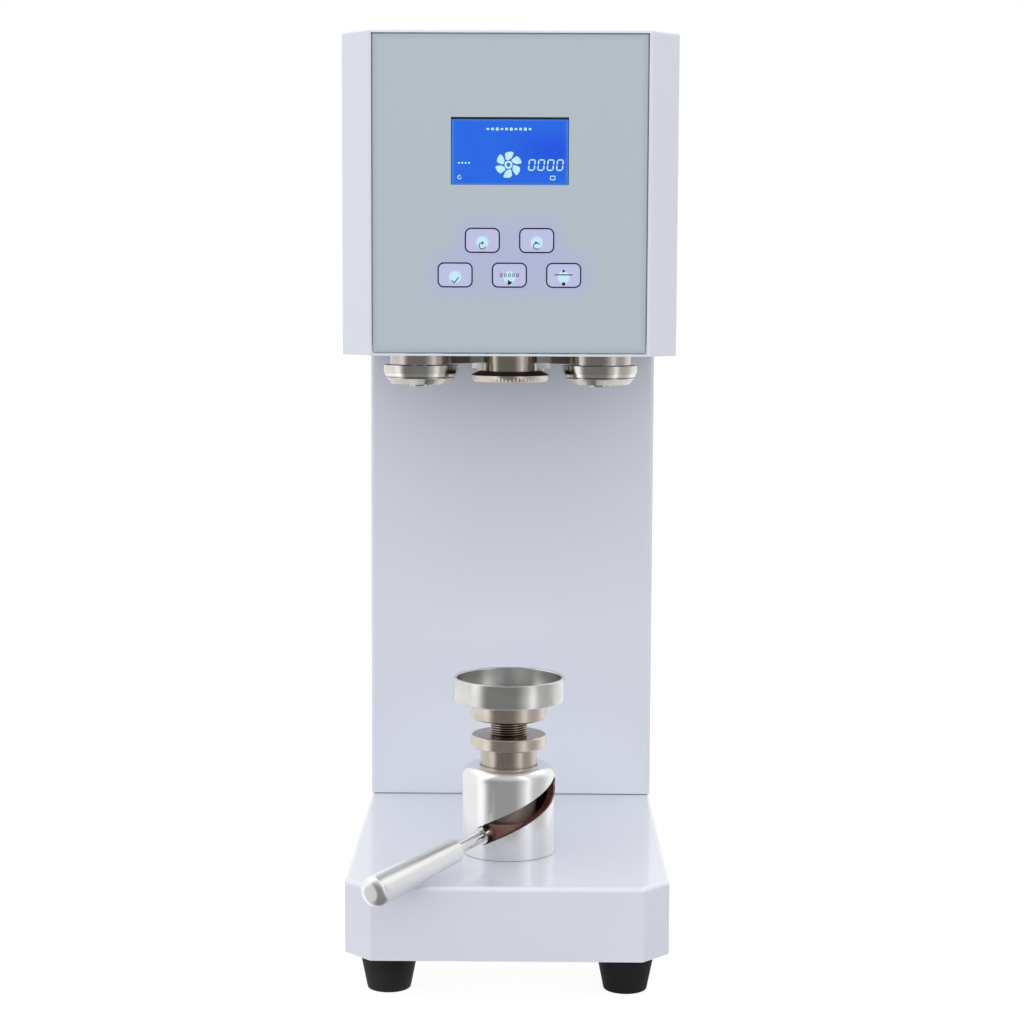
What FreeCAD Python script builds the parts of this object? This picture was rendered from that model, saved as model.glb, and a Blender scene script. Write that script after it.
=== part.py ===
import FreeCAD, Part
import math
import os
import re
import Sketcher
from FreeCAD import Placement, Rotation, Vector

# Bench-top can seamer, as a parametric FreeCAD document in millimetres.
# Frame: +Z up, +X to the operator's right, +Y to the rear. The origin is the point on the
# table right under the axis of the chuck, the ram and the can seat.

doc = FreeCAD.newDocument("CanSeamer")

# ---------------------------------------------------------------------------------------
# Driving sizes
# ---------------------------------------------------------------------------------------
SIZES = [
    # sheet-metal body
    ("body_width", 200, "width of base, column and head"),
    ("front_length", 90, "front faces ahead of the can axis"),
    ("back_length", 270, "rear faces behind the can axis"),
    ("corner_cut_x", 17, "front corner chamfer, across"),
    ("corner_cut_y", 18, "front corner chamfer, along"),
    ("sheet", 1.5, "thickness of the sheet-metal covers"),
    ("foot_height", 28.8, "underside of the base above the table"),
    ("base_height", 46, "height of the base box"),
    ("throat_height", 322, "base top to underside of the head cover"),
    ("head_height", 190.5, "height of the head cover"),
    ("base_edge", 3, "bends of the base cover, its upright and top edges"),
    ("head_edge", 2, "bends of the head cover, its upright and top edges"),
    ("column_front", 157, "front face of the column behind the can axis"),
    ("column_edge", 3, "rounding of the column's upright edges"),
    ("column_lip", 16, "width of the column's rear lips"),
    ("seam_gap", 0.5, "open seam where two covers meet"),
    ("plate_fit", 0.1, "gap between an inner plate and the cover around it"),
    # feet
    ("foot_inset_x", 26, "foot axes from the body's sides"),
    ("foot_inset_y", 40, "foot axes from the front and rear faces"),
    ("foot_top_radius", 19.3, "foot radius at the base"),
    ("foot_low_radius", 13.5, "foot radius at the table"),
    ("foot_bore_radius", 5.2, "recess for the foot screw's head"),
    ("foot_bore_depth", 17, "depth of that recess"),
    ("foot_edge", 1, "rounding of the foot's lower rim"),
    ("foot_screw_radius", 2.5, "foot screw thread"),
    ("foot_head_radius", 4.5, "foot screw head"),
    ("foot_head_height", 3.5, "foot screw head height"),
    ("foot_screw_grip", 2.8, "foot screw above the base plate's underside"),
    ("hole_play", 0.1, "radial play of a screw in its hole"),
    # base plate and the column frame that carries the head
    ("base_plate_height", 3, "thickness of the base plate"),
    ("frame_side_gap", 20, "column frame inside the body's sides"),
    ("frame_front_gap", 18, "column frame behind the column's front face"),
    ("frame_back_gap", 8, "column frame ahead of the rear faces"),
    ("frame_wall", 4, "wall of the column frame"),
    ("frame_flange", 6, "end plates of the column frame"),
    ("frame_opening_play", 2, "base cover opening around the column frame"),
    ("bolt_side_inset", 20, "frame bolts inside the frame's sides"),
    ("bolt_front_inset", 20, "front frame bolts behind the frame's front"),
    ("bolt_back_inset", 17, "rear frame bolts ahead of the frame's rear"),
    ("bolt_radius", 3, "frame bolt thread"),
    ("bolt_head_radius", 5.2, "frame bolt head"),
    ("bolt_head_height", 5, "frame bolt head height"),
    ("plate_rise", 7, "head plate above the head cover's lower edge"),
    ("plate_height", 10, "thickness of the head plate"),
    ("plate_front_gap", 20, "head plate behind the front faces"),
    ("head_screw_inset", 60, "head cover screws from the front and rear faces"),
    # rear panel, inlet, switch and power supply
    ("vent_half", 45, "ventilation slot, half its length"),
    ("vent_height", 3, "ventilation slot height"),
    ("vent_step", 9, "ventilation slot spacing"),
    ("vent_count", 7, "number of ventilation slots"),
    ("vent_rise", 215, "lowest ventilation slot above the panel's foot"),
    ("panel_screw_inset", 8, "rear panel screws from the panel's sides"),
    ("panel_screw_end", 17, "outer rear panel screws from the panel's ends"),
    ("small_screw_radius", 1.5, "cover screw thread"),
    ("small_head_radius", 3.1, "cover screw head"),
    ("small_head_height", 1.6, "cover screw head height"),
    ("small_head_rim", 0.6, "straight rim of a cover screw head"),
    ("small_head_flat", 1.9, "flat top of a cover screw head, its radius"),
    ("small_screw_grip", 4.5, "cover screw length under its head"),
    ("socket_x", 38, "power inlet and switch from the middle plane"),
    ("socket_rise", 34, "power inlet and switch above the panel's foot"),
    ("inlet_half", 13.5, "power inlet body, half its width"),
    ("inlet_half_height", 10, "power inlet body, half its height"),
    ("inlet_depth", 22, "power inlet body behind its flange"),
    ("inlet_flange_half", 25, "power inlet flange, half its width"),
    ("inlet_flange_half_height", 11.5, "power inlet flange, half its height"),
    ("flange_height", 2.5, "flange of inlet and switch outside the panel"),
    ("inlet_well_half", 12, "power inlet cavity, half its width"),
    ("inlet_well_half_height", 8, "power inlet cavity, half its height"),
    ("inlet_well_depth", 16, "power inlet cavity depth"),
    ("inlet_pin_half", 1, "power inlet pin, half its thickness"),
    ("inlet_pin_spread", 7, "power inlet outer pins from its middle"),
    ("switch_half", 9.4, "switch opening, half its width"),
    ("switch_half_height", 12.4, "switch opening, half its height"),
    ("switch_wall", 2, "switch frame wall"),
    ("switch_depth", 16, "switch frame behind the panel"),
    ("rocker_half", 8.8, "rocker, half its width"),
    ("rocker_half_height", 11, "rocker, half its height"),
    ("rocker_crest", 3.6, "rocker ends outside its pivot"),
    ("rocker_dip", 1.2, "rocker middle outside its pivot"),
    ("rocker_root", 4, "rocker behind its pivot"),
    ("rocker_root_half", 7.7, "rocker's rear face, half its height"),
    ("rocker_pin_radius", 2, "rocker's pivot pins"),
    ("rocker_pin_length", 1.6, "rocker's pivot pins beyond its sides"),
    ("rocker_sink", 2.5, "rocker pivot behind the frame's face"),
    ("rocker_tilt", 10, "rocker angle each way from level"),
    ("supply_half", 49, "power supply, half its width"),
    ("supply_depth", 42, "power supply depth"),
    ("supply_height", 129, "power supply height"),
    ("supply_rise", 120, "power supply above the base plate"),
    ("supply_ledge_depth", 14, "power supply behind its terminals"),
    ("supply_ledge_height", 16, "terminal ledge of the power supply"),
    # operator panel
    ("glass_side", 2, "metal margin beside the glass"),
    ("glass_top", 2.6, "metal margin above the glass"),
    ("glass_low", 1.6, "metal margin below the glass"),
    ("glass_gap", 0.3, "gap around the glass in the head cover"),
    ("glass_height", 3, "thickness of the glass"),
    ("glass_corner", 1.5, "corner rounding of the glass"),
    ("tray_height", 2, "thickness of the panel tray"),
    ("tray_rim", 12, "depth of the panel tray's rim"),
    ("tray_inset", 1.5, "panel tray inside the outline of the glass"),
    ("tray_ledge", 14, "panel tray ledge on the head plate"),
    ("tray_ledge_half", 60, "panel tray ledge, half its width"),
    ("screen_half", 34.5, "lit window, half its width"),
    ("screen_half_height", 19.5, "lit window, half its height"),
    ("screen_rise", 120, "middle of the window above the head cover's lower edge"),
    ("screen_rim", 4, "display module around its window"),
    ("screen_depth", 7, "display module depth"),
    ("touch_half", 56, "touch board, half its width"),
    ("touch_half_height", 22, "touch board, half its height"),
    ("touch_rise", 58, "middle of the touch board above the head cover's lower edge"),
    ("board_height", 1.6, "thickness of a circuit board"),
    ("board_inset", 11, "control board inside the sides of the glass"),
    ("board_tall", 130, "control board height"),
    ("board_rise", 34, "control board above the head cover's lower edge"),
    ("post_radius", 3, "control board post"),
    ("post_inset", 6, "control board posts from its corners"),
    # spindle, chuck and motor
    ("chuck_drop", 25.7, "underside of the chuck below the head plate"),
    ("chuck_radius", 25, "chuck rim"),
    ("chuck_rim_height", 4, "height of the chuck rim"),
    ("chuck_cone_height", 2.5, "height of the cone over the rim"),
    ("chuck_cone_radius", 20, "top of that cone"),
    ("chuck_edge", 0.4, "lower rim edge of the chuck"),
    ("chuck_recess_radius", 9, "recess for the chuck bolt's head"),
    ("chuck_recess_depth", 3.2, "depth of that recess"),
    ("chuck_bolt_radius", 5, "chuck bolt thread"),
    ("chuck_head_radius", 8, "chuck bolt head"),
    ("chuck_bolt_length", 17, "chuck bolt under its head"),
    ("press_play", 0.02, "radial play of a seated part"),
    ("run_play", 0.05, "radial play of a running fit"),
    ("end_play", 0.1, "end play of a running part"),
    ("nose_radius", 17, "spindle nose over the chuck"),
    ("nose_clear", 1, "spindle nose below the head plate"),
    ("shoulder_radius", 15, "spindle shoulder at the lower bearing"),
    ("journal_radius", 12.5, "spindle journal"),
    ("bearing_radius", 23.5, "spindle bearing outside"),
    ("bearing_width", 12, "spindle bearing width"),
    ("bearing_low", 2, "lower bearing above the head plate's underside"),
    ("bearing_space", 14, "distance between the two bearings"),
    ("bearing_groove", 1.2, "depth of the bearing's shield"),
    ("bearing_race", 3, "width of a bearing race"),
    ("housing_spigot", 27, "spindle housing spigot in the head plate"),
    ("housing_flange", 34, "spindle housing flange"),
    ("housing_flange_height", 6, "spindle housing flange height"),
    ("housing_barrel", 29, "spindle housing barrel"),
    ("housing_step", 20, "bore between the two bearings"),
    ("spindle_end_radius", 8, "spindle end in the coupling"),
    ("spindle_end_length", 15, "length of that end"),
    ("coupling_radius", 15, "shaft coupling"),
    ("coupling_length", 27, "shaft coupling length"),
    ("coupling_web", 3, "distance between the two shaft ends"),
    ("coupling_edge", 1, "chamfer of the coupling"),
    ("motor_shaft_radius", 6, "gear motor shaft"),
    ("motor_shaft_length", 27, "gear motor shaft length"),
    ("motor_plate_half", 44, "motor plate, half its side"),
    ("motor_plate_height", 6, "motor plate thickness"),
    ("motor_plate_bore", 13, "shaft hole in the motor plate"),
    ("motor_plate_rise", 64, "motor plate above the head plate"),
    ("strut_radius", 5, "strut under the motor plate"),
    ("strut_spread", 37, "struts from the can axis each way"),
    ("gear_radius", 36, "motor gear head"),
    ("gear_height", 30, "motor gear head height"),
    ("motor_radius", 33, "motor"),
    ("motor_height", 58, "motor height"),
    ("motor_edge", 3, "rounding of the motor's end"),
    # seaming arms, rollers and cams
    ("pivot_x", 13.5, "arm pivots from the middle plane"),
    ("pivot_y", 42, "arm pivots behind the can axis"),
    ("pivot_radius", 6, "arm pivot pin"),
    ("pivot_boss_radius", 12, "arm pivot boss"),
    ("pivot_boss_drop", 19, "lower end of the pivot boss below the head plate"),
    ("pivot_head_radius", 8.5, "pivot pin head"),
    ("pivot_head_height", 1.5, "pivot pin head height"),
    ("pivot_nut_radius", 8.5, "pivot pin nut on the head plate"),
    ("pivot_nut_height", 5, "pivot pin nut height"),
    ("roller_x", 56.5, "roller axes from the middle plane at rest"),
    ("arm_drop", 15, "underside of the arm bars below the head plate"),
    ("arm_height", 12, "height of the arm bar"),
    ("arm_half", 9, "arm bar, half its width"),
    ("tail_height", 6.5, "height of the arm tail"),
    ("tail_half", 6, "arm tail, half its width"),
    ("tail_end_radius", 7, "arm tail end"),
    ("tail_x", 51, "arm tail ends from the middle plane"),
    ("tail_y", 92, "arm tail ends behind the can axis"),
    ("boss_radius", 19.5, "roller boss of an arm"),
    ("boss_edge", 1.5, "rounding of the roller boss"),
    ("arm_clear", 0.2, "arms below the head plate"),
    ("roller_gap", 0.5, "dark joint between arm boss and roller"),
    ("roller_flange_radius", 23.5, "roller flange"),
    ("roller_flange_height", 5, "roller flange height"),
    ("roller_ring_radius", 22.6, "ring under the roller flange"),
    ("roller_ring_height", 2, "ring height"),
    ("roller_groove_radius", 20.4, "bottom of the seaming groove"),
    ("roller_groove_height", 1, "seaming groove height"),
    ("roller_lip_radius", 22, "lip under the groove"),
    ("roller_lip_height", 3.9, "lip height"),
    ("roller_bevel", 3.6, "bevel of the lip's lower edge"),
    ("roller_web", 2.2, "roller floor over its end screw"),
    ("roller_pin_radius", 6, "roller pin"),
    ("roller_screw_radius", 3, "roller end screw"),
    ("roller_head_radius", 7, "roller end screw head"),
    ("roller_head_height", 2.6, "roller end screw head height"),
    ("roller_head_flat", 3.5, "flat end of that head, its radius"),
    ("follower_radius", 6, "cam follower"),
    ("follower_height", 6, "cam follower height"),
    ("follower_pin_radius", 2.5, "cam follower pin"),
    ("cam_height", 5.6, "cam thickness"),
    ("cam_low_radius", 12, "cam radius at rest"),
    ("cam_turn", 150, "cam travel in degrees"),
    ("arm_turn", 11, "arm travel in degrees"),
    ("cam_gap", 0.15, "gap between cam and follower"),
    ("cam_shaft_radius", 4, "cam shaft"),
    ("cam_shaft_play", 0.4, "cam shaft in the head plate"),
    ("cam_shaft_rise", 14, "cam shaft above the head plate"),
    ("cam_motor_half", 17, "cam gearbox, half its width"),
    ("cam_motor_depth", 42, "cam gearbox length"),
    ("cam_motor_height", 24, "cam gearbox height"),
    ("cam_motor_radius", 12, "cam motor"),
    ("cam_motor_rise", 34, "cam motor height over its gearbox"),
    ("cam_motor_back", 26, "cam motor behind the cam shaft"),
    # lift
    ("deck_half", 45, "lift deck, half its side"),
    ("deck_height", 8, "lift deck thickness"),
    ("deck_wall", 5, "lift deck side walls"),
    ("guide_radius", 15, "ram below its shoulder"),
    ("guide_hole_play", 1.5, "ram in the base cover"),
    ("ram_radius", 18, "ram above its shoulder"),
    ("ram_low", 6, "ram's lower end above the base plate at rest"),
    ("ram_top", 68.8, "ram's upper end above the base top at rest"),
    ("ram_edge", 0.8, "chamfer of the ram's upper end"),
    ("ram_bore_floor", 24, "floor of the ram's thread above the base top"),
    ("thread_radius", 12, "adjusting screw thread"),
    ("thread_play", 0.1, "radial play of that thread"),
    ("keyway_half", 3, "keyway in the ram, half its width"),
    ("keyway_depth", 2.8, "keyway depth"),
    ("key_length", 17, "guide key length behind the ram"),
    ("key_height", 5, "guide key height"),
    ("lift_radius", 30, "lift housing"),
    ("lift_height", 57, "lift housing height"),
    ("lift_edge", 8, "rounding of its top"),
    ("lift_bore", 25, "lift housing bore"),
    ("lift_roof", 6, "lift housing roof"),
    ("lift_hole_play", 0.3, "ram in the lift housing's roof"),
    ("lift_hole_edge", 0.8, "chamfer round that hole's top"),
    ("lift_screw_radius", 1.5, "lift housing screws"),
    ("lift_screw_circle", 27.5, "their pitch radius"),
    ("lift_screw_grip", 7, "their grip in the housing wall"),
    ("slot_climb_height", 90, "height that the helical slot climbs in a full turn"),
    ("slot_rise", 24, "slot middle above the base top, straight ahead"),
    ("lever_rest", 32, "lever to the left of straight ahead at rest, degrees"),
    ("lever_turn", 110, "lever travel in degrees"),
    ("slot_play", 0.5, "lever collar in the slot"),
    ("sleeve_top", 22.5, "sleeve top above the base top at rest"),
    ("sleeve_height", 19, "sleeve height"),
    ("sleeve_play", 0.2, "sleeve in the housing bore"),
    ("clip_depth", 1.2, "retaining ring groove in the ram"),
    ("clip_height", 1.7, "retaining ring thickness"),
    ("clip_radius", 19, "retaining ring outside"),
    ("clip_gap_half", 3, "retaining ring opening, half its width"),
    ("lever_tilt", 4.5, "lever droop in degrees"),
    ("rod_radius", 4, "lever rod"),
    ("rod_start", 16, "lever rod's inner end from the can axis"),
    ("rod_grip", 18, "lever rod inside the grip"),
    ("collar_radius", 5.4, "lever collar in the slot"),
    ("collar_start", 25.7, "lever collar's inner end from the can axis"),
    ("collar_end", 33, "lever collar's outer end"),
    ("grip_start", 64, "grip's inner end from the can axis"),
    ("grip_length", 87.5, "grip length"),
    ("grip_inner_radius", 7.9, "grip radius at the rod"),
    ("grip_outer_radius", 9.6, "grip radius at its free end"),
    ("grip_edge", 5, "rounding of the grip's free end"),
    ("nut_radius", 24, "lock nut"),
    ("nut_height", 7.8, "lock nut height"),
    ("nut_edge", 0.6, "chamfer of lock nut and screw flange"),
    ("screw_end", 8, "screw's lower end above the floor of its thread"),
    ("screw_gap", 10.5, "screw flange above the lock nut"),
    ("flange_radius", 24, "screw flange"),
    ("flange_thick", 11.1, "screw flange height"),
    ("pocket_radius", 17, "bearing pocket in the screw flange"),
    ("pocket_depth", 6, "depth of that pocket"),
    ("spigot_radius", 8, "can seat spigot in its bearing"),
    ("seat_radius", 35.65, "can seat outside"),
    ("seat_recess_radius", 33.5, "can seat recess"),
    ("seat_height", 15.5, "can seat height"),
    ("seat_floor", 5, "can seat floor thickness"),
    ("seat_edge", 0.9, "rounding of the can seat's rims"),
]

sheet = doc.addObject("Spreadsheet::Sheet", "Sizes")
for row, (alias, amount, meaning) in enumerate(SIZES, start=1):
    sheet.set("A%d" % row, alias)
    sheet.set("B%d" % row, str(amount))
    sheet.set("C%d" % row, meaning)
    sheet.setAlias("B%d" % row, alias)
doc.recompute()

FUNCTIONS = ("sqrt", "sin", "cos", "tan", "atan", "deg")


def cells(text):
    """The expression with each size written as a cell of the sheet."""
    def cell(word):
        name = word.group(0)
        return name if name in FUNCTIONS else "Sizes." + name
    return re.sub(r"[a-z]\w*", cell, str(text))


def number(text):
    """The present value of an expression over the sheet."""
    return float(sheet.evalExpression(cells(text)))


# Levels that several pieces share, as expressions over the sheet.
BASE_TOP = "(foot_height + base_height)"
DECK_TOP = "(foot_height + base_height - sheet)"
DECK_LOW = "(foot_height + base_height - sheet - deck_height)"
FLOOR_TOP = "(foot_height + base_plate_height)"
HEAD_LOW = "(foot_height + base_height + throat_height)"
PLATE_LOW = "(foot_height + base_height + throat_height + plate_rise)"
PLATE_TOP = "(foot_height + base_height + throat_height + plate_rise + plate_height)"
PANEL_FOOT = "(foot_height + base_height + seam_gap)"
PANEL_TALL = "(throat_height - 2 * seam_gap)"
FRAME_HALF = "(body_width / 2 - frame_side_gap)"
FRAME_FRONT = "(column_front + frame_front_gap)"
FRAME_BACK = "(back_length - frame_back_gap)"
PLATE_FRONT = "(front_length - plate_front_gap)"
NEAR = 0.001


# ---------------------------------------------------------------------------------------
# Ways of making a piece
# ---------------------------------------------------------------------------------------
def bind(item, **sizes):
    """Tie properties of an object to expressions over the sheet."""
    for name, text in sizes.items():
        item.setExpression(name, cells(text))


def place(item, x="0", y="0", z="0"):
    """Tie the position of an object to the sheet."""
    for axis, text in (("x", x), ("y", y), ("z", z)):
        item.setExpression("Placement.Base." + axis, cells(text))


def origin_plane(body, role):
    """One of the body's own origin planes."""
    for feature in body.Origin.OriginFeatures:
        if feature.Role == role:
            return feature
    raise ValueError(role)


def outline(body, name, role, corners):
    """A closed sketch through corners given as pairs of expressions."""
    sketch = body.newObject("Sketcher::SketchObject", name)
    sketch.AttachmentSupport = [(origin_plane(body, role), "")]
    sketch.MapMode = "FlatFace"
    spots = [Vector(number(across), number(up), 0) for across, up in corners]
    count = len(spots)
    for index, spot in enumerate(spots):
        sketch.addGeometry(Part.LineSegment(spot, spots[(index + 1) % count]), False)
    for index in range(count):
        following = (index + 1) % count
        sketch.addConstraint(Sketcher.Constraint("Coincident", index, 2, following, 1))
    for index, (across, up) in enumerate(corners):
        for kind, text in (("DistanceX", across), ("DistanceY", up)):
            length = Sketcher.Constraint(kind, -1, 1, index, 1, number(text))
            held = sketch.addConstraint(length)
            sketch.setExpression("Constraints[%d]" % held, cells(text))
    return sketch


def turned(name, profile, x="0", y="0", z="0"):
    """A body turned about its own upright axis from (radius, height) corners."""
    body = doc.addObject("PartDesign::Body", name)
    sketch = outline(body, name + "Profile", "XZ_Plane", profile)
    turn = body.newObject("PartDesign::Revolution", name + "Turn")
    turn.Profile = sketch
    turn.ReferenceAxis = (sketch, ["V_Axis"])
    turn.Angle = 360
    body.Tip = turn
    place(body, x, y, z)
    doc.recompute()
    return body


def raised(name, plan, height, z="0", x="0", y="0"):
    """A body raised from a plan of (x, y) corners."""
    body = doc.addObject("PartDesign::Body", name)
    sketch = outline(body, name + "Plan", "XY_Plane", plan)
    pad = body.newObject("PartDesign::Pad", name + "Pad")
    pad.Profile = sketch
    bind(pad, Length=height)
    body.Tip = pad
    place(body, x, y, z)
    doc.recompute()
    return body


def dressed(body, kind, size, test):
    """Round or chamfer the body's edges that pass a test, in the body's own frame."""
    base = body.Tip
    picked = ["Edge%d" % n for n, edge in enumerate(base.Shape.Edges, start=1) if test(edge)]
    if not picked:
        raise ValueError("no edge to dress on " + body.Name)
    feature = body.newObject("PartDesign::" + kind, body.Name + kind)
    feature.Base = (base, picked)
    bind(feature, **{"Radius" if kind == "Fillet" else "Size": size})
    body.Tip = feature
    doc.recompute()
    return body


def rim(radius, height):
    """Test for the round edge of a turned body at a radius and a height."""
    def test(edge):
        curve = edge.Curve
        if not isinstance(curve, Part.Circle):
            return False
        near = abs(curve.Radius - number(radius)) < NEAR
        return near and abs(curve.Center.z - number(height)) < NEAR
    return test


def level(height):
    """Test for the edges that lie flat at a height."""
    def test(edge):
        box = edge.BoundBox
        return abs(box.ZMin - number(height)) < NEAR and box.ZLength < NEAR
    return test


def upright(y_text):
    """Test for upright edges at a depth."""
    def test(edge):
        box = edge.BoundBox
        return abs(box.YMin - number(y_text)) < NEAR and box.YLength + box.XLength < NEAR
    return test


def standing(edge):
    """True for a straight upright edge."""
    box = edge.BoundBox
    return box.XLength + box.YLength < NEAR


def bends(height):
    """Test for the upright edges of a box and the edges round its top."""
    top = level(height)

    def test(edge):
        return standing(edge) or top(edge)
    return test


def block(name, x, y, z, length, width, height):
    """A box from its lowest corner and its three sizes."""
    item = doc.addObject("Part::Box", name)
    bind(item, Length=length, Width=width, Height=height)
    place(item, x, y, z)
    return item


def rod(name, x, y, z, radius, height):
    """An upright cylinder from the middle of its foot."""
    item = doc.addObject("Part::Cylinder", name)
    bind(item, Radius=radius, Height=height)
    place(item, x, y, z)
    return item


def laid(item, axis, degrees):
    """Turn an object about an axis through its own base point."""
    item.Placement.Rotation = Rotation(axis, degrees)
    return item


def put(item, placement):
    """Put an object at a worked-out placement in place of the one tied to the sheet."""
    for axis in "xyz":
        item.setExpression("Placement.Base." + axis, None)
    item.Placement = placement
    return item


def joined(name, pieces):
    """Several objects fused into one."""
    item = doc.addObject("Part::MultiFuse", name)
    item.Shapes = pieces
    item.Refine = True
    return item


def less(name, base, tools):
    """The base with every tool cut out of it."""
    item = doc.addObject("Part::Cut", name)
    item.Base = base
    item.Tool = tools[0] if len(tools) == 1 else joined(name + "Tools", tools)
    return item


def group(name, pieces):
    """Several equal solids that share one node."""
    item = doc.addObject("Part::Compound", name)
    item.Links = pieces
    return item


PIECES = []


def keep(label, item):
    """Take an object as a finished sub-part under its label."""
    item.Label = label
    PIECES.append((label, item))
    return item


LEFT, RIGHT = "-1", "1"
SIDES = (("first", LEFT), ("second", RIGHT))


# ---------------------------------------------------------------------------------------
# Sheet-metal covers and the plates inside them
# ---------------------------------------------------------------------------------------
def body_plan(inset):
    """Plan of base and head with their front corners cut off, inset all round."""
    slant = "sqrt(corner_cut_x * corner_cut_x + corner_cut_y * corner_cut_y)"
    side = "body_width / 2 - (%s)" % inset
    back = "back_length - (%s)" % inset
    front = "(%s) - front_length" % inset
    cut_y = "corner_cut_y - front_length + (%s) * (%s - corner_cut_y) / corner_cut_x"
    cut_x = "body_width / 2 - corner_cut_x - (%s) * (%s - corner_cut_x) / corner_cut_y"
    cut_y = cut_y % (inset, slant)
    cut_x = cut_x % (inset, slant)
    return [(side, back), ("-(%s)" % side, back), ("-(%s)" % side, cut_y),
            ("-(%s)" % cut_x, front), (cut_x, front), (side, cut_y)]


def hollow(body, depth):
    """Hollow a box-shaped body from below, leaving the sheet's thickness all round."""
    solid = body.Shape.Volume
    inside = outline(body, body.Name + "Inside", "XY_Plane", body_plan("sheet"))
    pocket = body.newObject("PartDesign::Pocket", body.Name + "Pocket")
    pocket.Profile = inside
    pocket.Reversed = True
    bind(pocket, Length=depth)
    body.Tip = pocket
    doc.recompute()
    if body.Shape.Volume >= solid:
        raise RuntimeError(body.Name + " was not hollowed")
    return body


def make_base():
    cover = raised("BaseBox", body_plan("0"), "base_height", "foot_height")
    dressed(cover, "Fillet", "base_edge", bends("base_height"))
    hollow(cover, "base_height - sheet")
    play = "frame_opening_play"
    tools = [
        rod("BaseRamHole", "0", "0", DECK_LOW, "guide_radius + guide_hole_play", "base_height"),
        block("BaseFrameHole", "-%s - %s" % (FRAME_HALF, play), "%s - %s" % (FRAME_FRONT, play),
              DECK_LOW, "2 * %s + 2 * %s" % (FRAME_HALF, play),
              "%s - %s + 2 * %s" % (FRAME_BACK, FRAME_FRONT, play), "base_height"),
    ]
    tools += lift_screw_rods("BaseScrew", DECK_LOW, "base_height", "lift_screw_radius + hole_play")
    keep("base_cover", less("BaseCover", cover, tools))

    plate = raised("FloorPlate", body_plan("sheet + plate_fit"), "base_plate_height",
                   "foot_height")
    holes = [rod("FloorHole%d" % n, x, y, "0", "foot_screw_radius + hole_play", BASE_TOP)
             for n, (x, y) in enumerate(foot_places())]
    holes += [rod("FloorBolt%d" % n, x, y, "0", "bolt_radius + hole_play", BASE_TOP)
              for n, (x, y) in enumerate(bolt_places())]
    keep("base_plate", less("BasePlate", plate, holes))


def foot_places():
    """Axes of the four feet as (x, y)."""
    return [(side + " * (body_width / 2 - foot_inset_x)", y) for side in (LEFT, RIGHT)
            for y in ("foot_inset_y - front_length", "back_length - foot_inset_y")]


def bolt_places():
    """Axes of the bolts at each end of the column frame as (x, y)."""
    return [("%s * (%s - bolt_side_inset)" % (side, FRAME_HALF), y) for side in (LEFT, RIGHT)
            for y in (FRAME_FRONT + " + bolt_front_inset", FRAME_BACK + " - bolt_back_inset")]


def make_feet():
    hole = "foot_screw_radius + hole_play"
    feet = []
    screws = []
    for n, (x, y) in enumerate(foot_places()):
        foot = turned("Foot%d" % n, [
            ("foot_bore_radius", "0"), ("foot_low_radius", "0"),
            ("foot_top_radius", "foot_height"), (hole, "foot_height"),
            (hole, "foot_bore_depth"), ("foot_bore_radius", "foot_bore_depth")], x, y)
        feet.append(dressed(foot, "Fillet", "foot_edge", rim("foot_low_radius", "0")))
        screws.append(turned("FootScrew%d" % n, [
            ("0", "foot_bore_depth - foot_head_height"),
            ("foot_head_radius", "foot_bore_depth - foot_head_height"),
            ("foot_head_radius", "foot_bore_depth"), ("foot_screw_radius", "foot_bore_depth"),
            ("foot_screw_radius", "foot_height + foot_screw_grip"),
            ("0", "foot_height + foot_screw_grip")], x, y))
    keep("rubber_feet", group("RubberFeet", feet))
    keep("foot_screws", group("FootScrews", screws))


def make_column():
    side = "body_width / 2"
    back = "back_length - sheet"
    half = [(side, "column_front"), (side, back), (side + " - column_lip", back),
            (side + " - column_lip", back + " - sheet"), (side + " - sheet", back + " - sheet"),
            (side + " - sheet", "column_front + sheet")]
    plan = half + [("-(%s)" % x, y) for x, y in reversed(half)]
    cover = raised("ColumnSkin", plan, PANEL_TALL, PANEL_FOOT)
    dressed(cover, "Fillet", "column_edge", upright("column_front"))
    holes = [screw_hole("ColumnScrew%d" % n, x, z) for n, (x, z) in enumerate(panel_screws())]
    keep("column_cover", less("ColumnCover", cover, holes))

    width = "2 * " + FRAME_HALF
    depth = "(%s - %s)" % (FRAME_BACK, FRAME_FRONT)
    tall = "(%s - %s)" % (PLATE_LOW, FLOOR_TOP)
    outer = block("FrameOuter", "-" + FRAME_HALF, FRAME_FRONT, FLOOR_TOP, width, depth, tall)
    inner = block("FrameInner", "frame_wall - " + FRAME_HALF, FRAME_FRONT + " + frame_wall",
                  FLOOR_TOP + " + frame_flange", width + " - 2 * frame_wall", depth,
                  tall + " - 2 * frame_flange")
    bolts = [rod("FrameBolt%d" % n, x, y, "0", "bolt_radius + hole_play", PLATE_TOP)
             for n, (x, y) in enumerate(bolt_places())]
    keep("column_frame", less("ColumnFrame", outer, [inner] + bolts))
    heads = []
    for n, (x, y) in enumerate(bolt_places()):
        for end, seat, grip in (("Low", FLOOR_TOP + " + frame_flange",
                                 "frame_flange + base_plate_height"),
                                ("High", PLATE_TOP, "plate_height + frame_flange")):
            heads.append(turned("FrameBolt%s%d" % (end, n), [
                ("0", "%s - (%s)" % (seat, grip)), ("bolt_radius", "%s - (%s)" % (seat, grip)),
                ("bolt_radius", seat), ("bolt_head_radius", seat),
                ("bolt_head_radius", seat + " + bolt_head_height"),
                ("0", seat + " + bolt_head_height")], x, y))
    keep("frame_bolts", group("FrameBolts", heads))


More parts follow.
